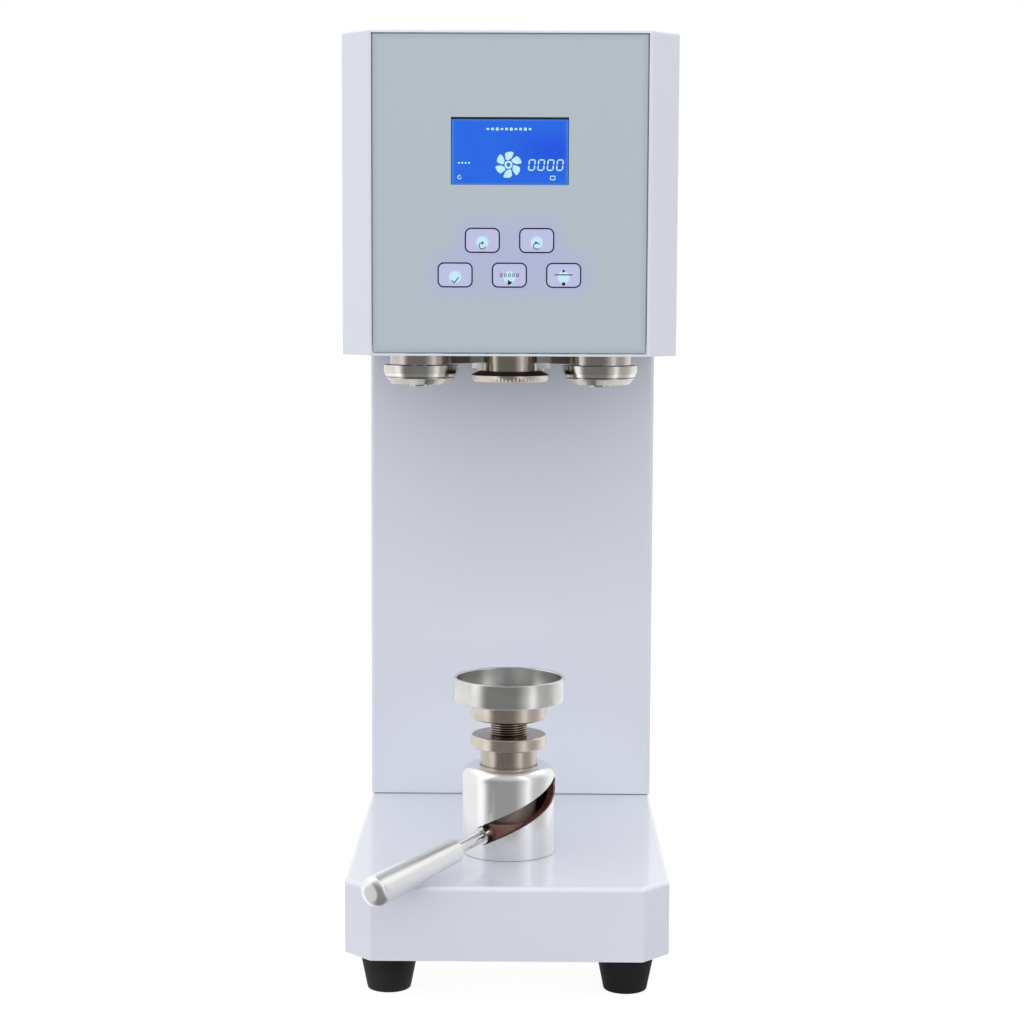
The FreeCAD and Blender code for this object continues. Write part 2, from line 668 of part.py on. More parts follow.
def panel_screws():
    """Places of the rear panel's screws as (x, z)."""
    rows = (PANEL_FOOT + " + panel_screw_end", PANEL_FOOT + " + " + PANEL_TALL + " / 2",
            PANEL_FOOT + " + " + PANEL_TALL + " - panel_screw_end")
    return [(side + " * (body_width / 2 - panel_screw_inset)", z) for side in (LEFT, RIGHT)
            for z in rows]


def screw_hole(name, x, z):
    """A hole right through the rear panel and the lip behind it."""
    hole = rod(name, x, "back_length + sheet", z, "small_screw_radius + hole_play",
               "5 * sheet")
    return laid(hole, Vector(1, 0, 0), 90)


def make_rear_panel():
    panel = block("PanelSheet", "-body_width / 2", "back_length - sheet", PANEL_FOOT,
                  "body_width", "sheet", PANEL_TALL)
    through = "back_length - 3 * sheet"
    deep = "5 * sheet"
    middle = PANEL_FOOT + " + socket_rise"
    tools = [screw_hole("PanelScrewHole%d" % n, x, z) for n, (x, z) in enumerate(panel_screws())]
    tools.append(block("InletHole", "-socket_x - inlet_half", through,
                       middle + " - inlet_half_height", "2 * inlet_half", deep,
                       "2 * inlet_half_height"))
    tools.append(block("SwitchHole", "socket_x - switch_half - switch_wall", through,
                       middle + " - switch_half_height - switch_wall",
                       "2 * switch_half + 2 * switch_wall", deep,
                       "2 * switch_half_height + 2 * switch_wall"))
    for n in range(int(number("vent_count"))):
        tools.append(block("Vent%d" % n, "-vent_half", through,
                           PANEL_FOOT + " + vent_rise + %d * vent_step" % n, "2 * vent_half",
                           deep, "vent_height"))
    keep("back_panel", less("BackPanel", panel, tools))


def small_screw(name, x, y, z):
    """A button-head cover screw, standing head up on the point given."""
    return turned(name, [
        ("0", "-small_screw_grip"), ("small_screw_radius", "-small_screw_grip"),
        ("small_screw_radius", "0"), ("small_head_radius", "0"),
        ("small_head_radius", "small_head_rim"), ("small_head_flat", "small_head_height"),
        ("0", "small_head_height")], x, y, z)


def make_cover_screws():
    """The equal screws that hold the rear panel and the head cover."""
    screws = []
    for n, (x, z) in enumerate(panel_screws()):
        screws.append(laid(small_screw("PanelScrew%d" % n, x, "back_length", z),
                           Vector(1, 0, 0), -90))
    middle = "(%s + plate_height / 2)" % PLATE_LOW
    for n, (side, y) in enumerate(side_screws()):
        screws.append(laid(small_screw("HeadScrew%d" % n, side + " * body_width / 2", y, middle),
                           Vector(0, 1, 0), 90 * float(side)))
    keep("cover_screws", group("CoverScrews", screws))


def make_inlet():
    middle = PANEL_FOOT + " + socket_rise"
    face = "back_length + flange_height"
    flange = block("InletFlange", "-socket_x - inlet_flange_half", "back_length",
                   middle + " - inlet_flange_half_height", "2 * inlet_flange_half",
                   "flange_height", "2 * inlet_flange_half_height")
    shell = block("InletShell", "-socket_x - inlet_half + plate_fit", "back_length - inlet_depth",
                  middle + " - inlet_half_height + plate_fit", "2 * inlet_half - 2 * plate_fit",
                  "inlet_depth", "2 * inlet_half_height - 2 * plate_fit")
    well = block("InletWell", "-socket_x - inlet_well_half", face + " - inlet_well_depth",
                 middle + " - inlet_well_half_height", "2 * inlet_well_half",
                 "2 * inlet_well_depth", "2 * inlet_well_half_height")
    socket = less("InletSocket", joined("InletBody", [flange, shell]), [well])
    pins = []
    for n, (across, up) in enumerate((("-1", "-1"), ("1", "-1"), ("0", "1"))):
        pins.append(block("InletPin%d" % n,
                          "-socket_x + %s * inlet_pin_spread - inlet_pin_half" % across,
                          face + " - inlet_well_depth",
                          middle + " + %s * inlet_pin_half - 2 * inlet_pin_half" % up,
                          "2 * inlet_pin_half", "inlet_well_depth - flange_height",
                          "4 * inlet_pin_half"))
    keep("power_inlet", joined("PowerInlet", [socket] + pins))


def make_switch():
    middle = PANEL_FOOT + " + socket_rise"
    wall = "switch_wall"
    brim = block("SwitchBrim", "socket_x - switch_half - 2 * " + wall, "back_length",
                 middle + " - switch_half_height - 2 * " + wall,
                 "2 * switch_half + 4 * " + wall, "flange_height",
                 "2 * switch_half_height + 4 * " + wall)
    case = block("SwitchCase", "socket_x - switch_half - %s + plate_fit" % wall,
                 "back_length - switch_depth", middle + " - switch_half_height - %s + plate_fit" % wall,
                 "2 * switch_half + 2 * %s - 2 * plate_fit" % wall, "switch_depth",
                 "2 * switch_half_height + 2 * %s - 2 * plate_fit" % wall)
    well = block("SwitchWell", "socket_x - switch_half", "back_length - switch_depth + " + wall,
                 middle + " - switch_half_height", "2 * switch_half", "2 * switch_depth",
                 "2 * switch_half_height")
    pivot_y = "back_length + flange_height - rocker_sink"
    pin_half = "(rocker_half + rocker_pin_length)"
    across = Vector(0, 1, 0)
    socket = rod("RockerSocket", "socket_x - %s - end_play" % pin_half, pivot_y, middle,
                 "rocker_pin_radius + run_play", "2 * %s + 2 * end_play" % pin_half)
    keep("power_switch_frame", less("SwitchFrame", joined("SwitchShell", [brim, case]),
                                    [well, laid(socket, across, 90)]))
    # The rocker is a V-backed bar drawn on its side and raised along the switch's width.
    rocker = raised("RockerBar", [
        ("rocker_crest", "rocker_half_height"), ("-rocker_root", "rocker_root_half"),
        ("-rocker_root", "-rocker_root_half"), ("rocker_crest", "-rocker_half_height"),
        ("rocker_dip", "0")], "2 * rocker_half", middle, "socket_x - rocker_half", pivot_y)
    # Plan x points to the rear, plan y points up and the raising direction points to +X.
    upright_turn = Rotation(across, Vector(0, 0, 1), Vector(1, 0, 0), "ZXY")
    tilt = Rotation(Vector(1, 0, 0), -number("rocker_tilt"))
    rocker.Placement.Rotation = tilt.multiply(upright_turn)
    pin = rod("RockerPin", "socket_x - " + pin_half, pivot_y, middle, "rocker_pin_radius",
              "2 * " + pin_half)
    keep("power_switch_rocker", joined("Rocker", [rocker, laid(pin, across, 90)]))


def make_supply():
    front = FRAME_FRONT + " + frame_wall"
    low = FLOOR_TOP + " + supply_rise"
    case = block("SupplyCase", "-supply_half", front, low, "2 * supply_half", "supply_depth",
                 "supply_height")
    step = block("SupplyStep", "-supply_half", front + " + supply_ledge_depth", low,
                 "2 * supply_half", "supply_depth", "supply_ledge_height")
    keep("power_supply", less("PowerSupply", case, [step]))


# ---------------------------------------------------------------------------------------
# Head: cover, plate and operator panel
# ---------------------------------------------------------------------------------------
GLASS_HALF = "(body_width / 2 - corner_cut_x - glass_side)"
GLASS_LOW = "(%s + glass_low)" % HEAD_LOW
GLASS_TALL = "(head_height - glass_low - glass_top)"
TRAY_FRONT = "(glass_height - front_length)"
TRAY_BACK = "(glass_height + tray_height - front_length)"


def side_screws():
    """Head cover screws as (side, y)."""
    return [(side, y) for side in (LEFT, RIGHT)
            for y in ("head_screw_inset - front_length", "back_length - head_screw_inset")]


def make_head():
    cover = raised("HeadBox", body_plan("0"), "head_height", HEAD_LOW)
    dressed(cover, "Fillet", "head_edge", bends("head_height"))
    hollow(cover, "head_height - sheet")
    tools = [block("HeadWindow", "-%s - glass_gap" % GLASS_HALF, "-front_length - sheet",
                   GLASS_LOW + " - glass_gap", "2 * %s + 2 * glass_gap" % GLASS_HALF,
                   "3 * sheet", GLASS_TALL + " + 2 * glass_gap")]
    middle = "(%s + plate_height / 2)" % PLATE_LOW
    for n, (side, y) in enumerate(side_screws()):
        hole = rod("HeadScrewHole%d" % n, side + " * (body_width / 2 - 2 * sheet)", y, middle,
                   "small_screw_radius + hole_play", "4 * sheet")
        tools.append(laid(hole, Vector(0, 1, 0), 90 * float(side)))
    keep("head_cover", less("HeadCover", cover, tools))

    side = "body_width / 2 - sheet - plate_fit"
    plate = block("PlateBlank", "-(%s)" % side, "-" + PLATE_FRONT, PLATE_LOW,
                  "2 * (%s)" % side, PLATE_FRONT + " + back_length - sheet - plate_fit",
                  "plate_height")
    holes = [rod("PlateSpindleHole", "0", "0", HEAD_LOW, "housing_spigot + press_play",
                 "head_height")]
    for name, side in SIDES:
        holes.append(rod("PlatePivot" + name, side + " * pivot_x", "pivot_y", HEAD_LOW,
                         "pivot_radius + press_play", "head_height"))
        holes.append(rod("PlateCam" + name, side + " * " + CAM_X, CAM_Y, HEAD_LOW,
                         "cam_shaft_radius + cam_shaft_play", "head_height"))
    for n, (x, y) in enumerate(bolt_places()):
        holes.append(rod("PlateBolt%d" % n, x, y, HEAD_LOW, "bolt_radius + hole_play",
                         "head_height"))
    for n, (side, y) in enumerate(side_screws()):
        hole = rod("PlateScrew%d" % n, side + " * (body_width / 2 - 2 * small_screw_grip)", y,
                   middle, "small_screw_radius + hole_play", "4 * small_screw_grip")
        holes.append(laid(hole, Vector(0, 1, 0), 90 * float(side)))
    keep("head_plate", less("HeadPlate", plate, holes))


def make_panel():
    glass = raised("Glass", [
        ("-" + GLASS_HALF, "0"), (GLASS_HALF, "0"), (GLASS_HALF, GLASS_TALL),
        ("-" + GLASS_HALF, GLASS_TALL)], "glass_height", GLASS_LOW, "0",
        "glass_height - front_length")
    dressed(glass, "Fillet", "glass_corner", standing)
    laid(glass, Vector(1, 0, 0), 90)
    keep("glass_panel", glass)

    half = "(%s - tray_inset)" % GLASS_HALF
    low = "(%s + tray_inset)" % GLASS_LOW
    tall = "(%s - 2 * tray_inset)" % GLASS_TALL
    screen = HEAD_LOW + " + screen_rise"
    touch = HEAD_LOW + " + touch_rise"
    slab = block("TraySlab", "-" + half, TRAY_FRONT, low, "2 * " + half,
                 "tray_height + tray_rim", tall)
    hollow_box = block("TrayHollow", "tray_height - " + half, TRAY_BACK, low + " + tray_height",
                       "2 * %s - 2 * tray_height" % half, "2 * tray_rim",
                       tall + " - 2 * tray_height")
    window = block("TrayWindow", "-screen_half - screen_rim - plate_fit", TRAY_FRONT + " - sheet",
                   screen + " - screen_half_height - screen_rim - plate_fit",
                   "2 * screen_half + 2 * screen_rim + 2 * plate_fit", "tray_rim",
                   "2 * screen_half_height + 2 * screen_rim + 2 * plate_fit")
    opening = block("TrayTouch", "-touch_half - plate_fit", TRAY_FRONT + " - sheet",
                    touch + " - touch_half_height - plate_fit",
                    "2 * touch_half + 2 * plate_fit", "tray_rim",
                    "2 * touch_half_height + 2 * plate_fit")
    ledge = block("TrayLedge", "-tray_ledge_half", TRAY_BACK, PLATE_TOP, "2 * tray_ledge_half",
                  "plate_front_gap - glass_height - tray_height + tray_ledge",
                  "tray_height")
    frame = less("TrayFrame", slab, [hollow_box, window, opening])
    keep("panel_tray", joined("PanelTray", [frame, ledge]))

    keep("display_module", block(
        "DisplayModule", "-screen_half - screen_rim", TRAY_FRONT,
        screen + " - screen_half_height - screen_rim", "2 * screen_half + 2 * screen_rim",
        "screen_depth", "2 * screen_half_height + 2 * screen_rim"))
    keep("touch_board", block(
        "TouchBoard", "-touch_half", TRAY_FRONT, touch + " - touch_half_height",
        "2 * touch_half", "board_height", "2 * touch_half_height"))
    board_y = "(%s + tray_rim)" % TRAY_BACK
    board_low = "(%s + board_rise)" % HEAD_LOW
    board_half = "(%s - board_inset)" % GLASS_HALF
    keep("control_board", block("ControlBoard", "-" + board_half, board_y, board_low,
                                "2 * " + board_half, "board_height", "board_tall"))
    posts = []
    for n, side in enumerate((LEFT, RIGHT)):
        for z in ("post_inset", "board_tall - post_inset"):
            post = rod("Post%d%s" % (n, z[:5]), "%s * (%s - post_inset)" % (side, board_half),
                       board_y, "%s + %s" % (board_low, z), "post_radius", "tray_rim")
            posts.append(laid(post, Vector(1, 0, 0), 90))
    keep("board_posts", group("BoardPosts", posts))


# ---------------------------------------------------------------------------------------
# Chuck, spindle and drive motor
# ---------------------------------------------------------------------------------------
CHUCK_LOW = "(%s - chuck_drop)" % PLATE_LOW
RIM_TOP = "(%s + chuck_rim_height)" % CHUCK_LOW
CHUCK_TOP = "(%s + chuck_rim_height + chuck_cone_height)" % CHUCK_LOW
LOWER_BEARING = "(%s + bearing_low)" % PLATE_LOW
UPPER_BEARING = "(%s + bearing_width + bearing_space)" % LOWER_BEARING
JOURNAL_TOP = "(%s + bearing_width + bearing_low)" % UPPER_BEARING
MOTOR_PLATE = "(%s + motor_plate_rise)" % PLATE_TOP
GEAR_LOW = "(%s + motor_plate_height)" % MOTOR_PLATE


def make_spindle():
    hole = "chuck_bolt_radius + press_play"
    recess = CHUCK_LOW + " + chuck_recess_depth"
    chuck = turned("Chuck", [
        ("chuck_recess_radius", CHUCK_LOW), ("chuck_radius", CHUCK_LOW),
        ("chuck_radius", RIM_TOP), ("chuck_cone_radius", CHUCK_TOP), (hole, CHUCK_TOP),
        (hole, recess), ("chuck_recess_radius", recess)])
    dressed(chuck, "Chamfer", "chuck_edge", rim("chuck_radius", CHUCK_LOW))
    keep("seaming_chuck", chuck)
    head_low = CHUCK_LOW + " + plate_fit"
    keep("chuck_bolt", turned("ChuckBolt", [
        ("0", head_low), ("chuck_head_radius", head_low), ("chuck_head_radius", recess),
        ("chuck_bolt_radius", recess), ("chuck_bolt_radius", recess + " + chuck_bolt_length"),
        ("0", recess + " + chuck_bolt_length")]))
    nose_top = PLATE_LOW + " - nose_clear"
    bore_top = recess + " + chuck_bolt_length + end_play"
    keep("chuck_spindle", turned("ChuckSpindle", [
        (hole, CHUCK_TOP), ("nose_radius", CHUCK_TOP), ("nose_radius", nose_top),
        ("shoulder_radius", nose_top), ("shoulder_radius", LOWER_BEARING + " - end_play"),
        ("journal_radius", LOWER_BEARING + " - end_play"), ("journal_radius", JOURNAL_TOP),
        ("spindle_end_radius", JOURNAL_TOP),
        ("spindle_end_radius", JOURNAL_TOP + " + spindle_end_length"),
        ("0", JOURNAL_TOP + " + spindle_end_length"), ("0", bore_top), (hole, bore_top)]))

    inner = "journal_radius + press_play"
    outer = "bearing_radius - press_play"
    bearings = []
    for name, low in (("Lower", LOWER_BEARING), ("Upper", UPPER_BEARING)):
        top = low + " + bearing_width"
        bearings.append(turned(name + "Bearing", [
            (inner, low), (inner + " + bearing_race", low),
            (inner + " + bearing_race", low + " + bearing_groove"),
            (outer + " - bearing_race", low + " + bearing_groove"),
            (outer + " - bearing_race", low), (outer, low), (outer, top),
            (outer + " - bearing_race", top),
            (outer + " - bearing_race", top + " - bearing_groove"),
            (inner + " + bearing_race", top + " - bearing_groove"),
            (inner + " + bearing_race", top), (inner, top)]))
    keep("spindle_bearings", group("SpindleBearings", bearings))
    bore = "bearing_radius"
    step_low = LOWER_BEARING + " + bearing_width"
    flange_top = PLATE_TOP + " + housing_flange_height"
    keep("spindle_housing", turned("SpindleHousing", [
        (bore, PLATE_LOW), ("housing_spigot", PLATE_LOW), ("housing_spigot", PLATE_TOP),
        ("housing_flange", PLATE_TOP), ("housing_flange", flange_top),
        ("housing_barrel", flange_top), ("housing_barrel", JOURNAL_TOP), (bore, JOURNAL_TOP),
        (bore, UPPER_BEARING), ("housing_step", UPPER_BEARING), ("housing_step", step_low),
        (bore, step_low)]))


def make_drive():
    low = JOURNAL_TOP + " + end_play"
    web = JOURNAL_TOP + " + spindle_end_length + coupling_web / 2"
    top = low + " + coupling_length"
    small = "motor_shaft_radius + press_play"
    large = "spindle_end_radius + press_play"
    coupling = turned("Coupling", [
        (large, low), ("coupling_radius", low), ("coupling_radius", top), (small, top),
        (small, web), (large, web)])
    dressed(coupling, "Chamfer", "coupling_edge", rim("coupling_radius", top))
    keep("shaft_coupling", coupling)
    shaft_low = JOURNAL_TOP + " + spindle_end_length + coupling_web"
    keep("motor_shaft", rod("MotorShaft", "0", "0", shaft_low, "motor_shaft_radius",
                            "motor_shaft_length"))
    bore = "motor_shaft_radius + run_play"
    shaft_top = shaft_low + " + motor_shaft_length + end_play"
    gear_top = GEAR_LOW + " + gear_height"
    motor = turned("Motor", [
        (bore, GEAR_LOW), ("gear_radius", GEAR_LOW), ("gear_radius", gear_top),
        ("motor_radius", gear_top), ("motor_radius", gear_top + " + motor_height"),
        ("0", gear_top + " + motor_height"), ("0", shaft_top), (bore, shaft_top)])
    dressed(motor, "Fillet", "motor_edge", rim("motor_radius", gear_top + " + motor_height"))
    keep("drive_motor", motor)
    side = "2 * motor_plate_half"
    slab = block("MotorSlab", "-motor_plate_half", "-motor_plate_half", MOTOR_PLATE, side, side,
                 "motor_plate_height")
    hole = rod("MotorSlabHole", "0", "0", PLATE_TOP, "motor_plate_bore", "head_height")
    keep("motor_plate", less("MotorPlate", slab, [hole]))
    struts = [rod("Strut%d%d" % (n, m), x + " * strut_spread", y + " * strut_spread", PLATE_TOP,
                  "strut_radius", "motor_plate_rise")
              for n, x in enumerate((LEFT, RIGHT)) for m, y in enumerate((LEFT, RIGHT))]
    keep("motor_struts", group("MotorStruts", struts))


# ---------------------------------------------------------------------------------------
# Seaming arms with their rollers, pivots, cam followers, cams and cam motors
# ---------------------------------------------------------------------------------------
TAIL_SPAN_X = "(tail_x - pivot_x)"
TAIL_SPAN_Y = "(tail_y - pivot_y)"
TAIL_SPAN = "sqrt(%s * %s + %s * %s)" % (TAIL_SPAN_X, TAIL_SPAN_X, TAIL_SPAN_Y, TAIL_SPAN_Y)
CAM_REACH = "(cam_low_radius + cam_gap + follower_radius)"
# The cam sits square to the tail, on the side from which it pushes the follower outwards.
CAM_X = "(tail_x - %s * %s / %s)" % (CAM_REACH, TAIL_SPAN_Y, TAIL_SPAN)
CAM_Y = "(tail_y + %s * %s / %s)" % (CAM_REACH, TAIL_SPAN_X, TAIL_SPAN)
ARM_LOW = "(%s - arm_drop)" % PLATE_LOW
BOSS_LOW = "(%s - pivot_boss_drop)" % PLATE_LOW
ARM_TOP = "(%s - arm_clear)" % PLATE_LOW
ROLLER_TOP = "(%s - roller_gap)" % ARM_LOW
FOLLOWER_LOW = "(%s + tail_height + arm_clear)" % ARM_LOW


def bar(name, side, end_x, end_y, half, height):
    """A bar of an arm from the pivot to a point, the first arm's on the left."""
    start = Vector(float(side) * number("pivot_x"), number("pivot_y"), number(ARM_LOW))
    end = Vector(float(side) * number(end_x), number(end_y), number(ARM_LOW))
    item = doc.addObject("Part::Box", name)
    span = "sqrt((%s - pivot_x) * (%s - pivot_x) + (%s - pivot_y) * (%s - pivot_y))"
    bind(item, Length=span % (end_x, end_x, end_y, end_y), Width="2 * (%s)" % half,
         Height=height)
    run = end - start
    turn = Rotation(Vector(0, 0, 1), math.degrees(math.atan2(run.y, run.x)))
    item.Placement = Placement(start + turn.multVec(Vector(0, -number(half), 0)), turn)
    return item


def make_arm(name, side):
    px = side + " * pivot_x"
    rx = side + " * roller_x"
    tx = side + " * tail_x"
    boss = turned(name + "RollerBoss", [
        ("0", ARM_LOW), ("boss_radius", ARM_LOW), ("boss_radius", ARM_LOW + " + arm_height"),
        ("0", ARM_LOW + " + arm_height")], rx, "0")
    dressed(boss, "Fillet", "boss_edge", rim("boss_radius", ARM_LOW + " + arm_height"))
    solid = joined(name + "ArmBlank", [
        rod(name + "PivotBoss", px, "pivot_y", BOSS_LOW, "pivot_boss_radius",
            "pivot_boss_drop - arm_clear"),
        bar(name + "Bar", side, "roller_x", "0", "arm_half", "arm_height"),
        boss,
        bar(name + "Tail", side, "tail_x", "tail_y", "tail_half", "tail_height"),
        rod(name + "TailEnd", tx, "tail_y", ARM_LOW, "tail_end_radius", "tail_height"),
        rod(name + "FollowerPin", tx, "tail_y", ARM_LOW, "follower_pin_radius",
            "tail_height + arm_clear + follower_height")])
    keep(name + "_arm", less(name + "Arm", solid, [
        rod(name + "PivotHole", px, "pivot_y", BASE_TOP, "pivot_radius + run_play",
            "throat_height + head_height"),
        rod(name + "RollerHole", rx, "0", BASE_TOP, "roller_pin_radius + press_play",
            "throat_height + plate_rise")]))


def make_pivots():
    head = "%s - end_play" % BOSS_LOW
    pins = [turned(name + "Pivot", [
        ("0", head + " - pivot_head_height"), ("pivot_head_radius", head + " - pivot_head_height"),
        ("pivot_head_radius", head), ("pivot_radius", head), ("pivot_radius", PLATE_TOP),
        ("pivot_nut_radius", PLATE_TOP), ("pivot_nut_radius", PLATE_TOP + " + pivot_nut_height"),
        ("0", PLATE_TOP + " + pivot_nut_height")], side + " * pivot_x", "pivot_y")
        for name, side in SIDES]
    keep("arm_pivot_pins", group("ArmPivotPins", pins))


def make_roller(name, side):
    flange = ROLLER_TOP + " - roller_flange_height"
    ring = flange + " - roller_ring_height"
    groove = ring + " - roller_groove_height"
    low = groove + " - roller_lip_height"
    floor = low + " + roller_web"
    pin = "roller_pin_radius + run_play"
    screw = "roller_screw_radius + run_play"
    roller = turned(name + "Roller", [
        (screw, low), ("roller_lip_radius", low), ("roller_lip_radius", groove),
        ("roller_groove_radius", groove + " + roller_groove_height / 4"),
        ("roller_groove_radius", ring + " - roller_groove_height / 4"),
        ("roller_ring_radius", ring), ("roller_ring_radius", flange),
        ("roller_flange_radius", flange), ("roller_flange_radius", ROLLER_TOP),
        (pin, ROLLER_TOP), (pin, floor), (screw, floor)], side + " * roller_x", "0")
    dressed(roller, "Chamfer", "roller_bevel", rim("roller_lip_radius", low))
    keep(name + "_roller", roller)
    head = low + " - end_play"
    keep(name + "_roller_pin", turned(name + "RollerPin", [
        ("0", head + " - roller_head_height"),
        ("roller_head_flat", head + " - roller_head_height"),
        ("roller_head_radius", head + " - roller_head_height / 2"), ("roller_head_radius", head),
        ("roller_screw_radius", head), ("roller_screw_radius", floor + " + end_play"),
        ("roller_pin_radius", floor + " + end_play"),
        ("roller_pin_radius", ARM_LOW + " + arm_height"), ("0", ARM_LOW + " + arm_height")],
        side + " * roller_x", "0"))


def cam_shape(side):
    """Plan of a cam whose turn moves its arm by an equal share at every angle.

    Each follower position is turned back by the cam's angle. The cam's flank is the curve
    that stays one follower radius and one gap inside all of them. A short dwell at each end
    keeps the arm still just before its start and just after its end.
    """
    steps = 24
    dwell = 4
    little = 0.001
    sign = float(side)
    pivot = Vector(sign * number("pivot_x"), number("pivot_y"), 0)
    tail = Vector(sign * number("tail_x"), number("tail_y"), 0)
    centre = Vector(sign * number(CAM_X), number(CAM_Y), 0)
    up = Vector(0, 0, 1)
    reach = number("follower_radius + cam_gap")

    def follower(share):
        swung = min(max(share, 0), 1)
        arm = Rotation(up, -sign * swung * number("arm_turn"))
        spot = pivot + arm.multVec(tail - pivot) - centre
        return Rotation(up, sign * share * number("cam_turn")).multVec(spot)

    flank = []
    for step in range(-dwell, steps + dwell + 1):
        share = step / steps
        ahead = follower(share + little) - follower(share - little)
        ahead.normalize()
        inward = up.cross(ahead)
        spot = follower(share)
        if inward.dot(spot) > 0:
            inward = -inward
        flank.append(spot + inward * reach)
    curve = Part.BSplineCurve()
    curve.interpolate(flank)
    start, end = flank[0], flank[-1]
    # A round heel joins the high end of the flank to its low end.
    low_angle = math.atan2(start.y, start.x)
    high_angle = math.atan2(end.y, end.x)
    gap = (low_angle - high_angle) * sign % (2 * math.pi)
    heel = []
    for quarter in (1, 2, 3):
        part = quarter / 4
        angle = high_angle + sign * gap * part
        ease = (1 + math.cos(math.pi * part)) / 2
        radius = start.Length + (end.Length - start.Length) * ease
        heel.append(Vector(radius * math.cos(angle), radius * math.sin(angle), 0))
    back = Part.BSplineCurve()
    back.interpolate([end] + heel + [start])
    wire = Part.Wire([curve.toShape(), back.toShape()])
    return Part.Face(wire).extrude(Vector(0, 0, number("cam_height")))


def make_cam(name, side):
    disc = doc.addObject("Part::Feature", name + "CamDisc")
    disc.Shape = cam_shape(side)
    place_x = side + " * " + CAM_X
    disc.Placement = Placement(Vector(number(place_x), number(CAM_Y), number(FOLLOWER_LOW)),
                               Rotation())
    hole = rod(name + "CamHole", place_x, CAM_Y, BASE_TOP, "cam_shaft_radius + press_play",
               "throat_height + head_height")
    keep(name + "_cam", less(name + "Cam", disc, [hole]))
    keep(name + "_cam_shaft", rod(name + "CamShaft", place_x, CAM_Y, FOLLOWER_LOW,
                                  "cam_shaft_radius",
                                  "%s + cam_shaft_rise - %s" % (PLATE_TOP, FOLLOWER_LOW)))
    case = block(name + "CamGears", place_x + " - cam_motor_half", CAM_Y + " - cam_motor_half",
                 PLATE_TOP, "2 * cam_motor_half", "cam_motor_depth", "cam_motor_height")
    motor = rod(name + "CamCan", place_x, CAM_Y + " + cam_motor_back - cam_motor_radius",
                PLATE_TOP, "cam_motor_radius", "cam_motor_height + cam_motor_rise")
    bore = rod(name + "CamBore", place_x, CAM_Y, PLATE_TOP, "cam_shaft_radius + run_play",
               "cam_shaft_rise + end_play")
    keep(name + "_cam_motor",
         less(name + "CamMotor", joined(name + "CamCase", [case, motor]), [bore]))


def make_follower(name, side):
    x = side + " * tail_x"
    top = FOLLOWER_LOW + " + follower_height"
    hole = "follower_pin_radius + run_play"
    keep(name + "_cam_follower", turned(name + "Follower", [
        (hole, FOLLOWER_LOW), ("follower_radius", FOLLOWER_LOW), ("follower_radius", top),
        (hole, top)], x, "tail_y"))


# ---------------------------------------------------------------------------------------
# Lift: deck, housing with helical slot, ram, lever, adjusting screw and can seat
# ---------------------------------------------------------------------------------------
SHOULDER = "(%s + sleeve_top + end_play)" % BASE_TOP
SLEEVE_LOW = "(%s + sleeve_top - sleeve_height)" % BASE_TOP
CLIP_TOP = "(%s - end_play)" % SLEEVE_LOW
RAM_TOP = "(%s + ram_top)" % BASE_TOP
NUT_TOP = "(%s + nut_height)" % RAM_TOP
FLANGE_LOW = "(%s + screw_gap)" % NUT_TOP
FLANGE_TOP = "(%s + flange_thick)" % FLANGE_LOW
SEAT_LOW = "(%s + end_play)" % FLANGE_TOP
SLOT_REST = "(%s + slot_rise - slot_climb_height * lever_rest / 360)" % BASE_TOP


def lift_screw_rods(name, z, height, radius):
    """Four upright rods on the lift housing's screw circle."""
    reach = "lift_screw_circle / sqrt(2)"
    places = [(x, y) for x in (LEFT, RIGHT) for y in (LEFT, RIGHT)]
    return [rod("%s%d" % (name, n), "%s * %s" % (x, reach), "%s * %s" % (y, reach), z, radius,
                height) for n, (x, y) in enumerate(places)]


def slot_tool():
    """The helical slot's cutter: a bar swept up a helix, with a round end at each limit."""
    middle = (number("lift_bore") + number("lift_radius")) / 2
    deep = number("lift_radius - lift_bore")
    width = number("2 * collar_radius + 2 * slot_play")
    pitch = number("slot_climb_height")
    slope = math.atan(pitch / (2 * math.pi * middle))
    tall = width / math.cos(slope)
    rise = pitch * number("lever_turn") / 360
    corners = [Vector(middle + a * deep, 0, b * tall / 2)
               for a, b in ((-1, -1), (1, -1), (1, 1), (-1, 1), (-1, -1))]
    section = Part.makePolygon(corners)
    helix = Part.makeHelix(pitch, rise, middle)
    swept = Part.Wire(helix.Edges).makePipeShell([section], True, True)
    ends = []
    for degrees, height in ((0, 0), (number("lever_turn"), rise)):
        outward = Vector(math.cos(math.radians(degrees)), math.sin(math.radians(degrees)), 0)
        foot = outward * (middle - deep) + Vector(0, 0, height)
        ends.append(Part.makeCylinder(width / 2, 2 * deep, foot, outward))
    return swept.fuse(ends)


